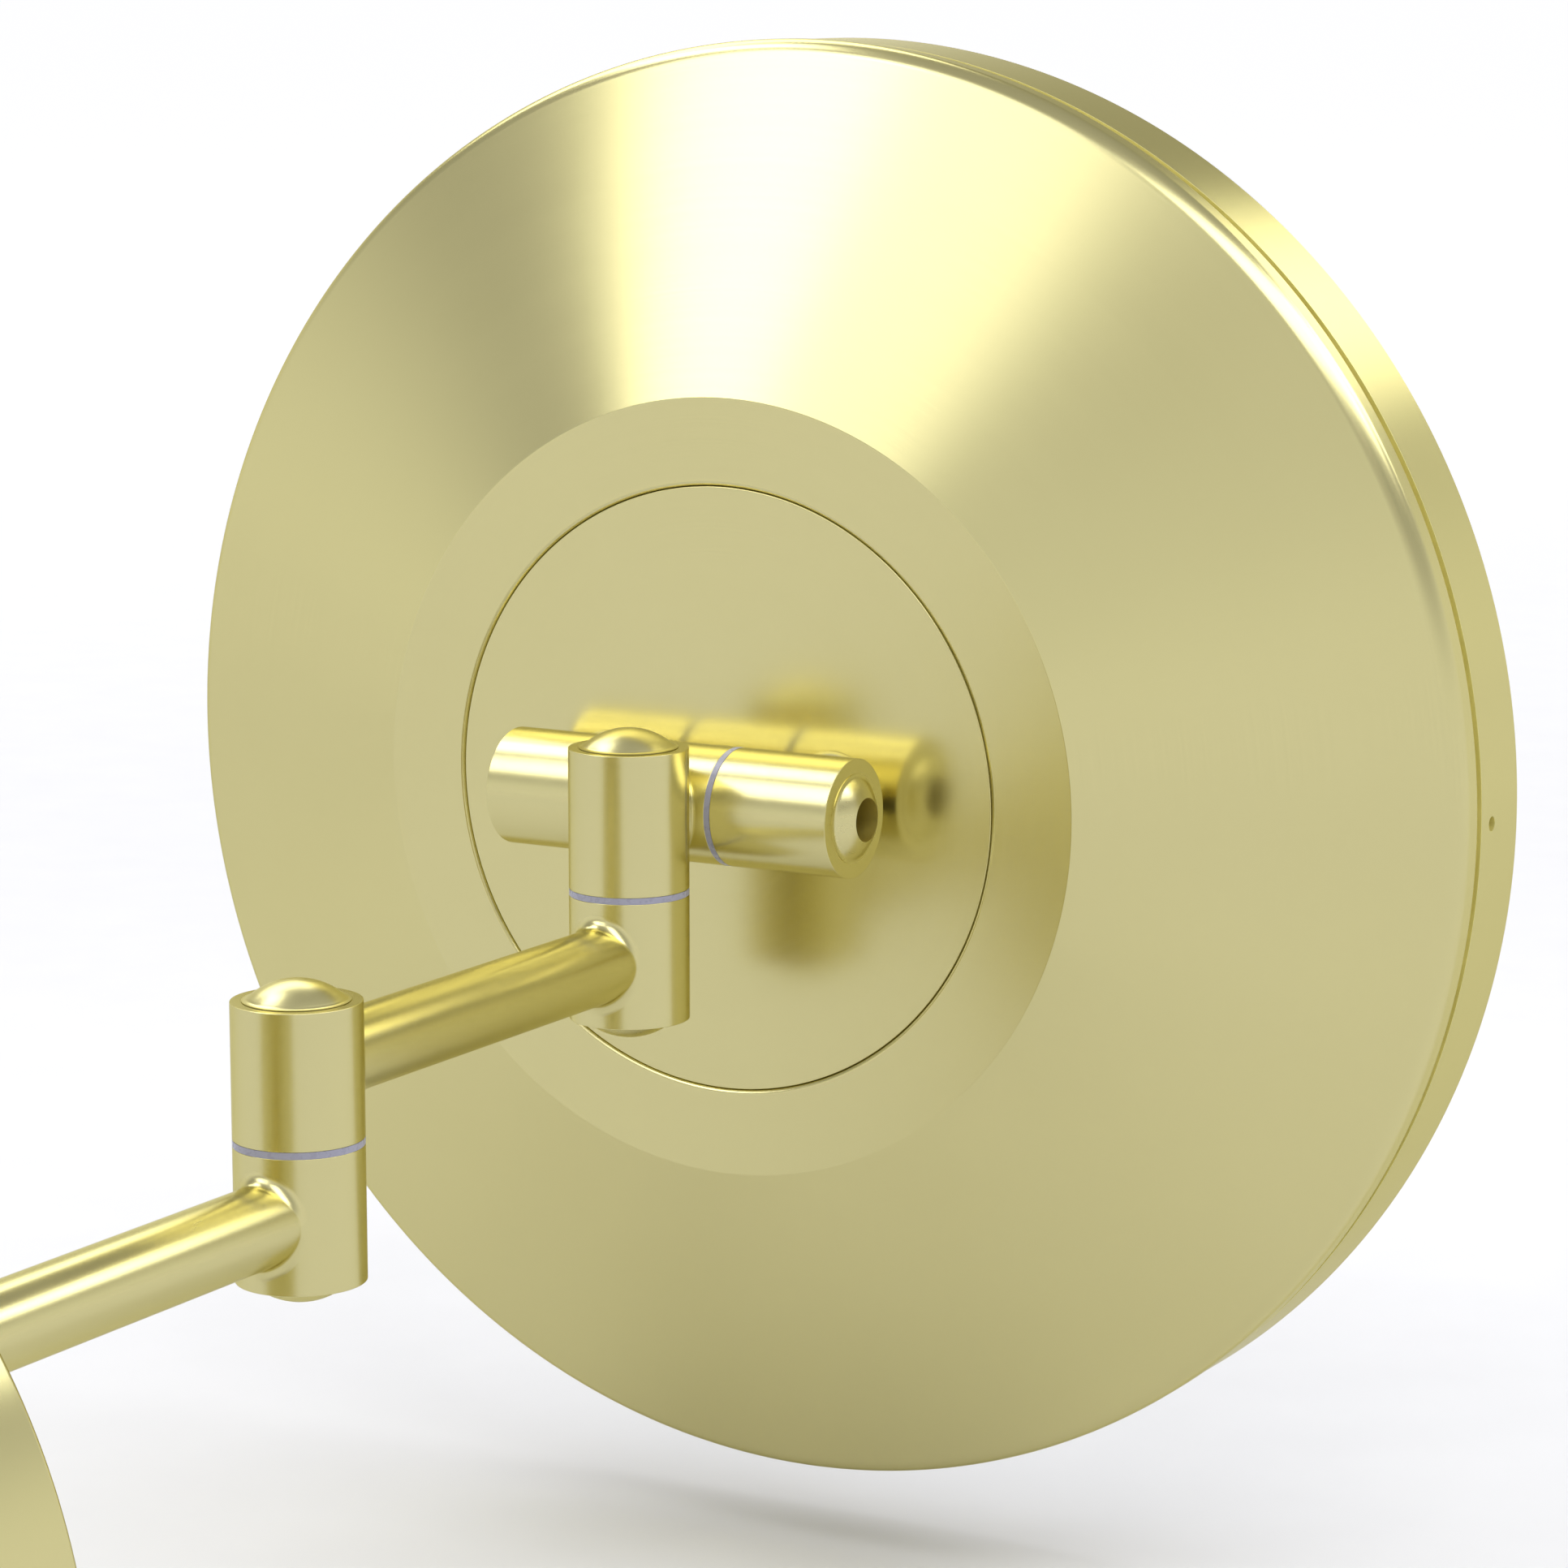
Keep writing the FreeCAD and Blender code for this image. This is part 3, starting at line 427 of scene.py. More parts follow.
def eased(corners, steps=5):
    """An outline of (radius, height). A corner with a third number is rounded to that radius."""
    points = []
    for i, corner in enumerate(corners):
        here = Vector(corner[:2])
        if len(corner) == 2:
            points.append(here)
            continue
        to_last = (Vector(corners[i - 1][:2]) - here).normalized()
        to_next = (Vector(corners[(i + 1) % len(corners)][:2]) - here).normalized()
        half = to_last.angle(to_next) / 2
        reach = corner[2] / math.tan(half)
        centre = here + (to_last + to_next).normalized() * (corner[2] / math.sin(half))
        start = here + to_last * reach - centre
        end = here + to_next * reach - centre
        sweep = start.angle_signed(end)
        for k in range(steps + 1):
            points.append(centre + Matrix.Rotation(-sweep * k / steps, 2) @ start)
    return points


def brass(name, roughness, marks, mark_size):
    """Lacquered pale brass. The marks give the place across the tool's marks, in metres."""
    finish, wire, place = finish_wire(name)
    lines = wire.node("ShaderNodeTexNoise", inputs={
        "Vector": marks(wire, place), "Scale": 1.0 / mark_size, "Detail": 3.0, "Roughness": 0.6,
    })
    clouds = wire.node("ShaderNodeTexNoise", inputs={"Vector": place, "Scale": 22.0, "Detail": 2.0})
    surface(wire, {
        "Base Color": wire.mixed(clouds, (0.703, 0.645, 0.318, 1), (0.731, 0.675, 0.344, 1)),
        "Metallic": 1.0, "Specular Tint": (0.84, 0.80, 0.53, 1),
        "Roughness": lines * 0.06 + clouds * 0.05 + (roughness - 0.055),
        "Normal": wire.node("ShaderNodeBump", inputs={
            "Strength": 0.02, "Distance": 0.0002, "Height": lines,
        }),
    })
    return finish


def rings_about(centre_height):
    """Marks that run in rings round an axis along Y at this height, as spinning leaves them."""

    def marks(wire, place):
        x = wire.node("ShaderNodeSeparateXYZ", inputs={0: place}, output="X")
        y = wire.node("ShaderNodeSeparateXYZ", inputs={0: place}, output="Y")
        z = wire.node("ShaderNodeSeparateXYZ", inputs={0: place}, output="Z") - centre_height * MM
        radius = wire.math("SQRT", x * x + z * z)
        return wire.node("ShaderNodeCombineXYZ", inputs={0: radius, 1: y})

    return marks


def inside_canopy(middle, normal):
    """True for the drum's inner side."""
    return math.hypot(middle.x, middle.z) < CANOPY_BORE + 0.5 and middle.y > 0.5 - CANOPY_DEPTH


raw_brass, wire, place = finish_wire("raw_brass")
stain = wire.node("ShaderNodeTexNoise", inputs={"Vector": place, "Scale": 120.0, "Detail": 5.0})
surface(wire, {
    "Base Color": wire.mixed(stain, (0.68, 0.62, 0.22, 1), (0.76, 0.70, 0.28, 1)),
    "Metallic": 0.7 - stain * 0.3,
    "Roughness": stain * 0.15 + 0.38,
    "Normal": wire.node("ShaderNodeBump", inputs={"Strength": 0.1, "Distance": 0.0002, "Height": stain}),
})
canopy = turned("canopy_drum", eased([
    (0, CANOPY_FLOOR), (CANOPY_BORE, CANOPY_FLOOR, 0.6), (CANOPY_BORE, 0), (CANOPY, 0, 0.3),
    (CANOPY, CANOPY_DEPTH, 1.2), (0, CANOPY_DEPTH),
])[1:], (0, 0, 0), TO_FRONT, 256)
worked(canopy, side_bit())
worked(canopy, bit(TAIL + SCREW_PLAY, 8.0, (0, 4.0 - CANOPY_DEPTH, NECK_LEVEL), TO_FRONT, 64))
polished(canopy, brass("canopy_brass", 0.20, rings_about(0.0), 0.0006))
lined(canopy, raw_brass, inside_canopy)
fitted(canopy, "wall_mount", "polished_brass", "wall_canopy")

# Canopy screws: two headless steel screws with hex sockets, one through each side of the drum into an
# ear of the bracket.
TO_LEFT = (0, -math.pi / 2, 0)
SIDE_SCREW_LENGTH = 5.4
SIDE_SCREW_KEY = 2.0
SIDE_SCREW_START = CANOPY - 0.3 - SIDE_SCREW_LENGTH


def headless_screw(name, radius, length, key, place, facing):
    """A headless screw with a chamfer at each end and a hex socket in its outer end."""
    edge = radius * 0.15
    screw = turned(name, [
        (radius - edge, 0), (radius, edge), (radius, length - edge), (radius - edge, length),
    ], place, facing, 32)
    socket = Vector(place) + Euler(facing).to_matrix() @ Vector((0, 0, length - key * 1.2))
    return worked(screw, bit(key / math.sqrt(3), key * 2.4, socket, facing, 6))


def joined(*pieces):
    """Makes one piece of several."""
    chosen(*pieces)
    bpy.ops.object.join()
    return pieces[0]


side_screws = joined(*[
    headless_screw(name, SIDE_SCREW, SIDE_SCREW_LENGTH, SIDE_SCREW_KEY,
                   (side * SIDE_SCREW_START, -SIDE_SCREW_SETBACK, 0), facing)
    for name, side, facing in (("side_screws", -1, TO_LEFT), ("right_side_screw", 1, TO_RIGHT))
])
fitted(polished(side_screws, zinc), "wall_mount", "steel", "canopy_screws")

# Wall barrel: the fixed half of the wall pivot, turned from brass bar. It stands on a flared neck whose
# hollow tail goes through the canopy's face to a steel nut inside.
UP = (0, 0, 0)
TO_WALL = (-math.pi / 2, 0, 0)
BARREL = 9.525
BARREL_LENGTH = 20.0
BORE = 4.05
FOOT = 8.2
FOOT_RIM = 0.3
NECK = 6.0
FLARE = 2.2
WALL_AXIS = -47.0
WALL_BOTTOM = NECK_LEVEL - BARREL_LENGTH / 2
TAIL_BORE = 3.0
TAIL_LENGTH = 12.0
NUT_WIDTH = 16.0
NUT_THICKNESS = 5.0


def arc(start, end, radius, bends, steps=24):
    """Points of an arc after its start. It bends to the left of its way (1) or to the right (-1)."""
    start, end = Vector(start), Vector(end)
    chord = end - start
    left = Vector((-chord.y, chord.x)).normalized()
    centre = (start + end) / 2 + left * (bends * math.sqrt(radius ** 2 - chord.length ** 2 / 4))
    sweep = (start - centre).angle_signed(end - centre)
    return [centre + Matrix.Rotation(-sweep * k / steps, 2) @ (start - centre) for k in range(1, steps + 1)]


def barrel(name, length, place, facing=UP):
    """A turned barrel with a bore, from its place along its facing."""
    return turned(name, eased([
        (BORE, 0, 0.2), (BARREL, 0, 0.12), (BARREL, length, 0.12), (BORE, length, 0.2),
    ], 3), place, facing, closed=True)


def foot(name, reach, place, facing):
    """A neck that flares out to a foot on a flat face. Its far end is sunk in a barrel."""
    flare = arc((FOOT, FOOT_RIM), (NECK, FOOT_RIM + FLARE), FLARE, -1, 8)
    return turned(name, [(FOOT, 0), (FOOT, FOOT_RIM)] + flare + [(NECK, reach)], place, facing)


def drawn_and_turned(wire, place):
    """Marks that run round upright barrels and along the arms."""
    return wire.node("ShaderNodeVectorMath", {"operation": "MULTIPLY"}, {0: place, 1: (0.35, 0.06, 1.0)})


arm_brass = brass("arm_brass", 0.25, drawn_and_turned, 0.0007)
neck_place = (0, -CANOPY_DEPTH, NECK_LEVEL)
wall_barrel = joined(
    barrel("wall_knuckle", BARREL_LENGTH, (0, WALL_AXIS, WALL_BOTTOM)),
    foot("wall_neck", 8.0, neck_place, TO_FRONT),
    turned("wall_tail", [
        (TAIL_BORE, 1.0), (TAIL, 1.0), (TAIL, TAIL_LENGTH - 0.4), (TAIL - 0.4, TAIL_LENGTH),
        (TAIL_BORE, TAIL_LENGTH),
    ], neck_place, TO_WALL, closed=True),
)
fitted(polished(wall_barrel, arm_brass), "wall_mount", "polished_brass", "wall_barrel")
nut_place = (0, -CANOPY_FLOOR, NECK_LEVEL)
nut = bit(NUT_WIDTH / math.sqrt(3), NUT_THICKNESS, nut_place, TO_WALL, 6)
nut.name = "tail_nut"
worked(nut, turned("nut_chamfer", [
    (NUT_WIDTH / 2, 0), (NUT_WIDTH / 2 + 1.4, 0.8), (NUT_WIDTH / 2 + 1.4, NUT_THICKNESS - 0.8),
    (NUT_WIDTH / 2, NUT_THICKNESS),
], nut_place, TO_WALL), "INTERSECT")
worked(nut, bit(TAIL + SCREW_PLAY, 8.0, (0, -CANOPY_FLOOR - 1.0, NECK_LEVEL), TO_WALL))
fitted(polished(nut, zinc), "wall_mount", "steel", "canopy_nut")

# Arms: brass tube brazed between two turned barrels, with a small smooth fillet at each joint.
# The leads run inside. The inner arm swings on the wall pivot and the outer one on the elbow.
TUBE = 6.0
WELD = 2.0
ELBOW_AXIS = -177.0
SWIVEL_AXIS = -267.0
WASHER_ROOM = 1.0
INNER_BOTTOM = WALL_BOTTOM + BARREL_LENGTH + WASHER_ROOM
OUTER_BOTTOM = INNER_BOTTOM + BARREL_LENGTH + WASHER_ROOM


def rows_of(name, count, rings):
    """A tube of plain rings, one unit apart, to be laid out one by one. It is left open."""
    bpy.ops.object.select_all(action="DESELECT")
    bpy.ops.mesh.primitive_circle_add(vertices=count, radius=1.0)
    piece = bpy.context.object
    piece.name = name
    bpy.ops.object.mode_set(mode="EDIT")
    bpy.ops.mesh.select_all(action="SELECT")
    for _ in range(rings - 1):
        bpy.ops.mesh.extrude_edges_move(TRANSFORM_OT_translate={"value": (0, 0, 1)})
    bpy.ops.object.mode_set(mode="OBJECT")
    return piece


def brazed_tube(name, back, front, level):
    """A tube between two barrels that flows into both: its last rings roll round the joint."""
    steps = 9
    rows = 2 * steps + 4
    tube = rows_of(name, 96, rows)
    for vertex in tube.data.vertices:
        row = round(vertex.co.z)
        turn = math.atan2(vertex.co.y, vertex.co.x)
        from_back = row < rows / 2
        step = row - 1 if from_back else rows - 2 - row
        ball = Vector((math.cos(turn), 0, math.sin(turn))) * (TUBE + WELD)
        ball.y = math.sqrt((BARREL + WELD) ** 2 - ball.x ** 2)
        to_tube = Vector((-math.cos(turn), 0, -math.sin(turn)))
        to_barrel = Vector((-ball.x, -ball.y, 0)).normalized()
        spot = ball + to_barrel.slerp(to_tube, max(step, 0) / steps) * WELD
        if step < 0:
            spot = spot + to_barrel * 1.0
        spot.y = back - spot.y if from_back else front + spot.y
        vertex.co = (spot + Vector((0, 0, level))) * MM
    bpy.ops.object.mode_set(mode="EDIT")
    bpy.ops.mesh.select_all(action="SELECT")
    bpy.ops.mesh.fill_holes(sides=0)
    return set_in_place(tube, (0, 0, 0), UP)


for which, near, far, bottom in (
    ("inner", WALL_AXIS, ELBOW_AXIS, INNER_BOTTOM),
    ("outer", ELBOW_AXIS, SWIVEL_AXIS, OUTER_BOTTOM),
):
    arm = joined(
        barrel(which + "_arm_tube", BARREL_LENGTH, (0, near, bottom)),
        barrel(which + "_far_barrel", BARREL_LENGTH, (0, far, bottom)),
        brazed_tube(which + "_tube", near, far, bottom + BARREL_LENGTH / 2),
    )
    fitted(polished(arm, arm_brass), which + "_arm", "polished_brass", which + "_arm")

# Upright hinges: a hollow steel spindle through two barrels, with a grey nylon washer between them.
# A domed brass cap is pressed into each end of the spindle.
DOWN = (math.pi, 0, 0)
WASHER = 0.99
KNUCKLE_LENGTH = 22.4
CAP = 7.85
CAP_SPIGOT = 2.47
CAP_SPIGOT_LENGTH = 4.0
CAP_PLAY = 0.05
CAP_LIP = 0.1
DOME_HEIGHT = 2.9
DOME_SHARE = 14.6 / 15.7
DOME_FLARE = 1.0

nylon, wire, place = finish_wire("grey_nylon")
haze = wire.node("ShaderNodeTexNoise", inputs={"Vector": place, "Scale": 900.0, "Detail": 4.0})
surface(wire, {
    "Base Color": wire.mixed(haze, (0.31, 0.31, 0.39, 1), (0.35, 0.35, 0.44, 1)),
    "Roughness": haze * 0.12 + 0.22,
    "Normal": wire.node("ShaderNodeBump", inputs={"Strength": 0.04, "Distance": 0.0001, "Height": haze}),
})
cap_brass = brass("cap_brass", 0.29, drawn_and_turned, 0.0005)


def washer(name, place, facing):
    """A flat washer as wide as the barrels, punched from sheet."""
    return turned(name, [
        (BORE, 0), (BARREL, 0), (BARREL, WASHER), (BORE, WASHER),
    ], place, facing, closed=True)


def dome(name, wide, spigot, spigot_length, place, facing, hole=0.0):
    """A domed cap: a spigot, a hair-thin lip, and a low dome that flares out to it. A hole may go through
    its middle."""
    lip = spigot_length + CAP_LIP
    base = wide * DOME_SHARE
    curve = (base ** 2 + DOME_HEIGHT ** 2) / (2 * DOME_HEIGHT)
    middle = Vector((0, lip + DOME_HEIGHT - curve))
    flare = Vector((0, lip + DOME_FLARE))
    flare.x = math.sqrt((curve + DOME_FLARE) ** 2 - (flare.y - middle.y) ** 2)
    lean = math.atan2(flare.x, flare.y - middle.y)
    start = math.asin(hole / curve)
    outline = [(spigot, 0), (spigot, spigot_length), (wide, spigot_length), (wide, lip)]
    for k in range(7):
        turn = (math.pi / 2 - lean) * k / 6
        outline.append(flare - Vector((math.sin(turn), math.cos(turn))) * DOME_FLARE)
    for k in range(1, 21):
        turn = lean + (start - lean) * k / 20
        outline.append(middle + Vector((math.sin(turn), math.cos(turn))) * curve)
    if hole:
        outline.append((hole, 0))
    else:
        outline[-1] = (0, lip + DOME_HEIGHT)
    return turned(name, outline, place, facing, closed=bool(hole))


def dressed(node, finish):
    """Gives a plain solid its finish."""
    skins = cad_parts[node].data.materials
    skins.clear()
    skins.append(finish)


for hinge, body_name, axis, bottom, upper in (
    ("wall", "wall_mount", WALL_AXIS, WALL_BOTTOM, BARREL_LENGTH),
    ("elbow", "inner_arm", ELBOW_AXIS, INNER_BOTTOM, BARREL_LENGTH),
    ("swivel", "outer_arm", SWIVEL_AXIS, OUTER_BOTTOM, KNUCKLE_LENGTH),
):
    ring = washer(hinge + "_hinge_washer", (0, axis, bottom + BARREL_LENGTH), UP)
    fitted(polished(ring, nylon), body_name, "nylon", hinge + "_washer")
    top = bottom + BARREL_LENGTH + WASHER_ROOM + upper + CAP_PLAY
    over = dome(hinge + "_upper_dome", CAP, CAP_SPIGOT, CAP_SPIGOT_LENGTH,
                (0, axis, top - CAP_SPIGOT_LENGTH), UP)
    fitted(polished(over, cap_brass), body_name, "polished_brass", hinge + "_top_cap")
    under = dome(hinge + "_lower_dome", CAP, CAP_SPIGOT, CAP_SPIGOT_LENGTH,
                 (0, axis, bottom + CAP_SPIGOT_LENGTH), DOWN)
    fitted(polished(under, cap_brass), body_name, "polished_brass", hinge + "_bottom_cap")
    dressed(hinge + "_spindle", zinc)

# Head knuckle: one brass casting of two crossed barrels, with a small fillet round their joint. Its
# upright barrel turns on the outer arm, and its crossing one is the middle of the tilt hinge.
BEAD = 0.6
CROSSING = 16.5
TILT_AXIS = SWIVEL_AXIS - CROSSING
TILT_CENTRE = 19.0
KNUCKLE_BOTTOM = OUTER_BOTTOM + BARREL_LENGTH + WASHER_ROOM
HEAD_LEVEL = KNUCKLE_BOTTOM + KNUCKLE_LENGTH / 2


def cast_fillet(name):
    """The fillet round the joint of two crossed barrels, as a ball leaves it that rolls along both."""
    steps = 7
    reach = BARREL + BEAD
    most = math.acos((CROSSING - reach) / reach)
    bead = rows_of(name, 128, steps + 3)
    for vertex in bead.data.vertices:
        step = round(vertex.co.z) - 1
        turn = math.atan2(vertex.co.y, vertex.co.x)
        lean = most * math.sin(turn)
        ball = Vector((0, reach * math.cos(lean) - CROSSING, reach * math.sin(lean)))
        ball.x = math.copysign(math.sqrt(max(reach ** 2 - ball.y ** 2, 0)), math.cos(turn))
        to_upright = Vector((-ball.x, -ball.y, 0)).normalized()
        to_crossing = Vector((0, -ball.y - CROSSING, -ball.z)).normalized()
        spot = ball + to_upright.slerp(to_crossing, min(max(step / steps, 0), 1)) * BEAD
        if step < 0:
            spot = spot + to_upright * 0.6
        elif step > steps:
            spot = spot + to_crossing * 0.6
        vertex.co = (spot + Vector((0, SWIVEL_AXIS, HEAD_LEVEL))) * MM
    bpy.ops.object.mode_set(mode="EDIT")
    bpy.ops.mesh.select_all(action="DESELECT")
    bpy.ops.mesh.select_non_manifold(extend=False)
    bpy.ops.mesh.bridge_edge_loops()
    return set_in_place(bead, (0, 0, 0), UP)


knuckle = joined(
    barrel("head_knuckle_cross", KNUCKLE_LENGTH, (0, SWIVEL_AXIS, KNUCKLE_BOTTOM)),
    barrel("knuckle_crossing", TILT_CENTRE, (-TILT_CENTRE / 2, TILT_AXIS, HEAD_LEVEL), TO_RIGHT),
    cast_fillet("knuckle_fillet"),
)
fitted(polished(knuckle, arm_brass), "head_knuckle", "polished_brass", "head_knuckle")

# Tilt hinge: on each side of the knuckle a nylon washer and a brass barrel that stands on the cover plate
# on a flared foot. A steel bolt draws them together, and the left cap has a hole for its key.
TILT_BARREL_START = TILT_CENTRE / 2 + WASHER_ROOM
TILT_BARREL_LENGTH = 20.9
TILT_CAP = 7.1
TILT_SPIGOT = 5.47
TILT_SPIGOT_LENGTH = 3.0
TILT_SPIGOT_PLAY = 0.03
KEY_HOLE = 3.5
HEAD_BACK = -294.9
PLATE_SINK = 0.3

# The key hole's wall is rougher, as a drilled bore is, and painted a darker, deeper gold than the caps:
# painted shade in the hole.
shaded_bore_brass, wire, place = finish_wire("shaded_bore_brass")
turns = wire.node("ShaderNodeTexNoise", inputs={"Vector": place, "Scale": 2000.0, "Detail": 3.0})
surface(wire, {
    "Base Color": wire.mixed(turns, (0.63, 0.52, 0.12, 1), (0.69, 0.58, 0.15, 1)),
    "Metallic": 1.0, "Specular Tint": (0.80, 0.70, 0.30, 1),
    "Roughness": turns * 0.1 + 0.5,
})


def in_key_hole(middle, normal):
    """True for the wall of the hole in the left cap."""
    return math.hypot(middle.y - TILT_AXIS, middle.z - HEAD_LEVEL) < KEY_HOLE + 0.01


for hand, side, facing in (("left", -1, TO_LEFT), ("right", 1, TO_RIGHT)):
    ring = washer(hand + "_hinge_washer", (side * TILT_CENTRE / 2, TILT_AXIS, HEAD_LEVEL), facing)
    fitted(polished(ring, nylon), "head_knuckle", "nylon", hand + "_tilt_washer")
    foot_across = side * (TILT_BARREL_START + TILT_BARREL_LENGTH / 2)
    post = joined(
        barrel(hand + "_hinge_barrel", TILT_BARREL_LENGTH,
               (side * TILT_BARREL_START, TILT_AXIS, HEAD_LEVEL), facing),
        foot(hand + "_hinge_foot", 5.1, (foot_across, HEAD_BACK - PLATE_SINK, HEAD_LEVEL), TO_WALL),
    )
    seat_across = side * (TILT_BARREL_START + TILT_BARREL_LENGTH - TILT_SPIGOT_LENGTH)
    seat = (seat_across, TILT_AXIS, HEAD_LEVEL)
    worked(post, bit(TILT_SPIGOT + TILT_SPIGOT_PLAY, 2 * TILT_SPIGOT_LENGTH, seat, facing, 64))
    fitted(polished(post, arm_brass), "mirror_head", "polished_brass", hand + "_tilt_barrel")
    cover = dome(hand + "_hinge_dome", TILT_CAP, TILT_SPIGOT, TILT_SPIGOT_LENGTH, seat, facing,
                 KEY_HOLE if hand == "left" else 0.0)
    polished(cover, cap_brass)
    if hand == "left":
        lined(cover, shaded_bore_brass, in_key_hole)
    fitted(cover, "mirror_head", "polished_brass", hand + "_tilt_cap")
for node in ("tilt_bolt", "barrel_screws", "cover_screws"):
    dressed(node, zinc)

# Cover plate: a turned brass disc let into the back's flat middle, with a narrow groove round it. It
# carries the tilt barrels, and screws hold it to the shell's ledge from inside.
HEAD = (0, HEAD_BACK, HEAD_LEVEL)
PLATE = 49.5
PLATE_THICKNESS = 3.0
head_brass = brass("head_brass", 0.24, rings_about(HEAD_LEVEL), 0.0005)
plate = turned("flush_plate", eased([
    (0, PLATE_THICKNESS), (PLATE, PLATE_THICKNESS), (PLATE, PLATE_SINK, 0.15), (0, PLATE_SINK),
], 4)[1:], HEAD, TO_FRONT, 288)
polished(plate, head_brass)
lined(plate, raw_brass, lambda middle, normal: abs(normal.y) < 0.1)
fitted(plate, "mirror_head", "satin_brass", "cover_plate")

# Rear shell: the head's back, spun from brass sheet with a flat middle, a cone and a rounded edge.
# A ledge for the cover plate is turned in at its middle, and its inside is left raw.
SHELL_SHEET = 1.5
SHELL_HOLE = 49.6
FLAT = 63.8
INNER_FLAT = 63.51
RIM = 120.2
RIM_BORE = RIM - SHELL_SHEET
CONE_DEPTH = 22.4
SHELL_DEPTH = 27.8
SLOPE = CONE_DEPTH / (RIM - FLAT)
INNER_CORNER = (RIM_BORE - FLAT) * SLOPE + SHELL_SHEET * math.hypot(1, SLOPE)
LEDGE = 43.9
LEDGE_ROOT = 51.4
LEDGE_BACK = PLATE_THICKNESS + SHELL_SHEET
shell = turned("spun_back", eased([
    (SHELL_HOLE, 0, 0.8), (FLAT, 0, 0.5), (RIM, CONE_DEPTH, 3.6), (RIM, SHELL_DEPTH, 0.3),
    (RIM_BORE, SHELL_DEPTH), (RIM_BORE, INNER_CORNER, 2.1), (INNER_FLAT, SHELL_SHEET),
    (LEDGE_ROOT, SHELL_SHEET), (LEDGE_ROOT, LEDGE_BACK), (LEDGE, LEDGE_BACK), (LEDGE, PLATE_THICKNESS),
    (SHELL_HOLE, PLATE_THICKNESS),
], 10), HEAD, TO_FRONT, 320, closed=True)
polished(shell, head_brass)


def inside_shell(middle, normal):
    """True for the wall round the plate, the ledge and the shell's inner side."""
    radius = math.hypot(middle.x, middle.z - HEAD_LEVEL)
    depth = HEAD_BACK - middle.y
    return depth > 0.9 and (radius < SHELL_HOLE + 0.4 or normal.y < -0.5)


lined(shell, raw_brass, inside_shell)
fitted(shell, "mirror_head", "satin_brass", "rear_shell")

# Front ring: the brass band round the light, turned from tube, on a spigot in the shell's rim. Its lip
# laps over the diffuser, and three plated headless screws through it hold the light tray.
BAND = 120.0
BAND_BORE = 118.0
BAND_LIP = 116.0
BAND_BACK = 29.9
BAND_FRONT = 45.1
LIP_BACK = 43.4
WEB_FRONT = 31.4
SPIGOT = 118.6
SPIGOT_BORE = 117.1
SPIGOT_BACK = 25.4
BAND_SCREW = 1.15
BAND_SCREW_LENGTH = 1.15
BAND_SCREW_KEY = 1.2
BAND_SCREW_DEPTH = 34.2
BAND_SCREW_START = BAND - 1.0 - BAND_SCREW_LENGTH
BAND_SCREW_COUNT = 3
band = turned("edge_band", eased([
    (SPIGOT, SPIGOT_BACK), (SPIGOT, BAND_BACK), (BAND, BAND_BACK, 0.06), (BAND, BAND_FRONT, 0.4),
    (BAND_LIP, BAND_FRONT, 0.3), (BAND_LIP, LIP_BACK), (BAND_BORE, LIP_BACK), (BAND_BORE, WEB_FRONT),
    (SPIGOT_BORE, WEB_FRONT), (SPIGOT_BORE, SPIGOT_BACK),
], 5), HEAD, TO_FRONT, 320, closed=True)
screw_ring = Vector((0, HEAD_BACK - BAND_SCREW_DEPTH, HEAD_LEVEL))
band_screws = []
for k in range(BAND_SCREW_COUNT):
    turn = math.radians(180 + 360 / BAND_SCREW_COUNT * k)
    outward = (0, math.pi / 2 - turn, 0)
    way = Vector((math.cos(turn), 0, math.sin(turn)))
    worked(band, bit(BAND_SCREW + SCREW_PLAY, 6.0, screw_ring + way * (BAND - 3.0), outward))
    band_screws.append(headless_screw(f"band_screw_{k}", BAND_SCREW, BAND_SCREW_LENGTH, BAND_SCREW_KEY,
                                      screw_ring + way * BAND_SCREW_START, outward))
polished(band, head_brass)


def inside_band(middle, normal):
    """True for the walls of the screw holes, the spigot and the side that faces the shell."""
    depth = HEAD_BACK - middle.y
    return depth < BAND_BACK + 0.2 or abs(depth - BAND_SCREW_DEPTH) < 1.25 and abs(normal.y) > 0.05


lined(band, raw_brass, inside_band)
fitted(band, "mirror_head", "satin_brass", "front_ring")
band_screw_set = joined(*band_screws)
fitted(polished(band_screw_set, raw_brass), "mirror_head", "steel", "ring_screws")

# Light: a white pan in the ring with a ring-shaped board of chips on its floor, and a foam pad in the
# middle for the glass. They lie behind the glass and the frosted ring.
for node, finish in (
    ("light_tray", moulding("white_powder", (0.78, 0.78, 0.76, 1), (0.86, 0.86, 0.84, 1), 0.4, 900.0)),
    ("led_board", moulding("white_mask", (0.80, 0.81, 0.78, 1), (0.86, 0.87, 0.85, 1), 0.3, 500.0)),
    ("leds", moulding("phosphor", (0.85, 0.72, 0.25, 1), (0.92, 0.80, 0.32, 1), 0.25, 1500.0)),
    ("mirror_pad", moulding("black_foam", (0.015, 0.015, 0.016, 1), (0.04, 0.04, 0.042, 1), 0.75, 700.0)),
):
    dressed(node, finish)

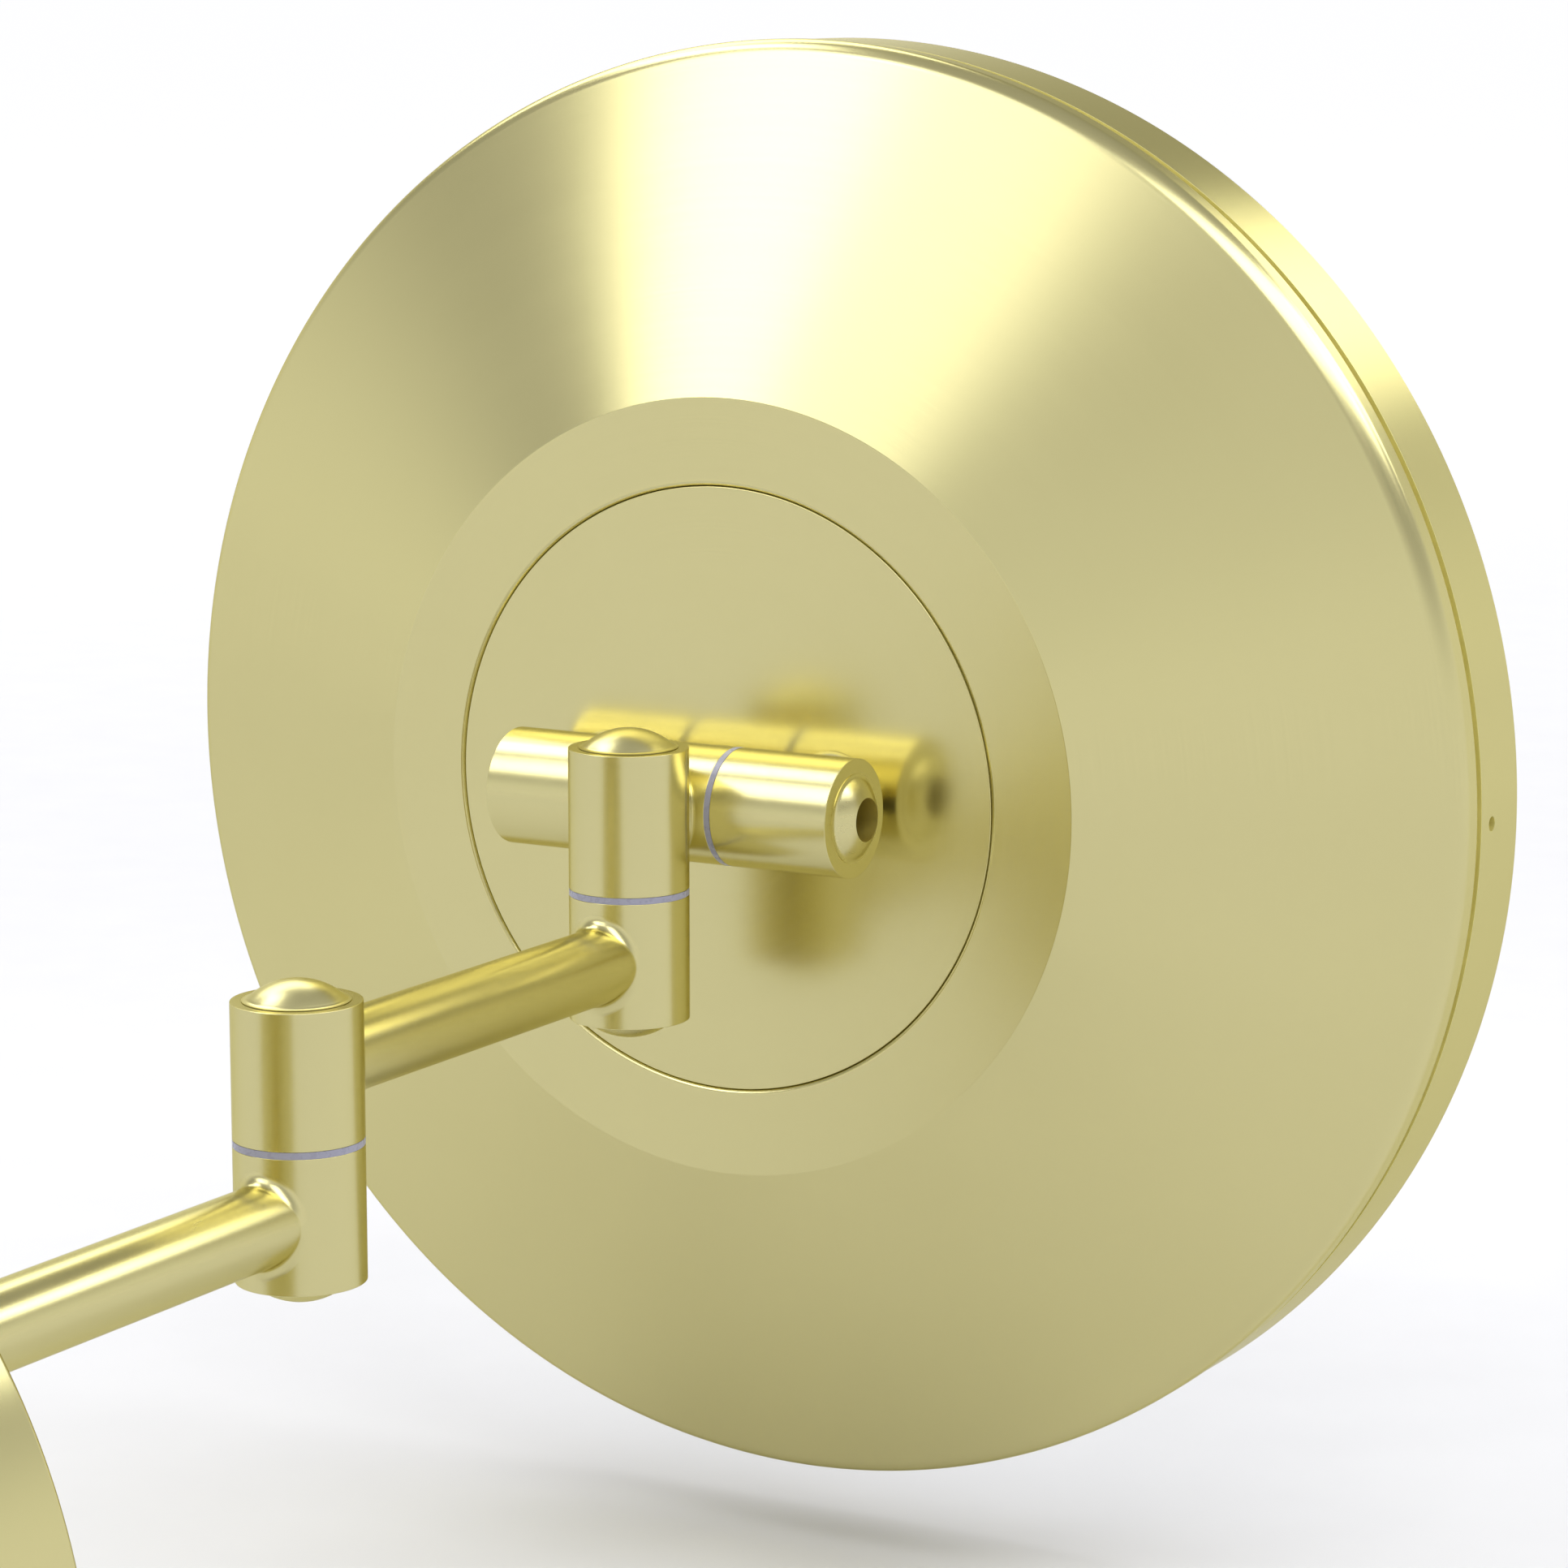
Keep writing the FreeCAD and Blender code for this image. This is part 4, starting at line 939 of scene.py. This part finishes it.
# Diffuser: a ring of acrylic, sanded to a frosted face, between the glass and the band's lip.
# The light comes out through it.
DIFFUSER = 117.8
DIFFUSER_BORE = 98.4
DIFFUSER_BACK = 41.2
DIFFUSER_FRONT = 43.2
frost, wire, place = finish_wire("frosted_acrylic")
grit = wire.node("ShaderNodeTexNoise", inputs={"Vector": place, "Scale": 2500.0, "Detail": 2.0})
cloud = wire.node("ShaderNodeTexNoise", inputs={"Vector": place, "Scale": 30.0, "Detail": 2.0})
surface(wire, {
    "Base Color": wire.mixed(cloud, (0.86, 0.86, 0.83, 1), (0.90, 0.90, 0.88, 1)),
    "Roughness": grit * 0.1 + 0.42,
    "Normal": wire.node("ShaderNodeBump", inputs={"Strength": 0.2, "Distance": 0.00005, "Height": grit}),
    "Subsurface Weight": 0.3, "Subsurface Radius": (0.004, 0.004, 0.004), "Subsurface Scale": 1.0,
})
diffuser = turned("frosted_ring", eased([
    (DIFFUSER_BORE, DIFFUSER_BACK, 0.2), (DIFFUSER, DIFFUSER_BACK, 0.2), (DIFFUSER, DIFFUSER_FRONT, 0.2),
    (DIFFUSER_BORE, DIFFUSER_FRONT, 0.2),
], 3), HEAD, TO_FRONT, 288, closed=True)
fitted(polished(diffuser, frost), "mirror_head", "frosted_acrylic", "diffuser_ring")

# Mirror glass: a round glass ground hollow, so that it magnifies, and silvered behind. A fine bevel
# runs round its edge, and the pad's glue holds it to the pan.
GLASS = 98.0
GLASS_BACK = 34.85
GLASS_THICKNESS = 3.0
GLASS_SAG = 5.35
GLASS_CURVE = (GLASS ** 2 + GLASS_SAG ** 2) / (2 * GLASS_SAG)
GLASS_BEVEL = 0.4
silver, wire, place = finish_wire("silvered_glass")
film = wire.node("ShaderNodeTexNoise", inputs={"Vector": place, "Scale": 14.0, "Detail": 3.0})
surface(wire, {
    "Base Color": wire.mixed(film, (0.88, 0.91, 0.91, 1), (0.92, 0.94, 0.94, 1)),
    "Metallic": 1.0, "Roughness": film * 0.02 + 0.005, "Coat Weight": 0.4, "Coat Roughness": 0.02,
})
glass_edge = GLASS_BACK + GLASS_SAG + GLASS_THICKNESS
bevel_top = (GLASS - GLASS_BEVEL, glass_edge - 0.04)
back = arc((0.0, GLASS_BACK), (GLASS, GLASS_BACK + GLASS_SAG), GLASS_CURVE, 1, 40)
hollow = arc(bevel_top, (0.0, GLASS_BACK + GLASS_THICKNESS), GLASS_CURVE, -1, 40)
hollow[-1].x = 0.0
glass = turned("hollow_glass", back + [(GLASS, glass_edge - GLASS_BEVEL), bevel_top] + hollow,
               HEAD, TO_FRONT, 288)
fitted(polished(glass, silver), "mirror_head", "silvered_glass", "mirror_glass")
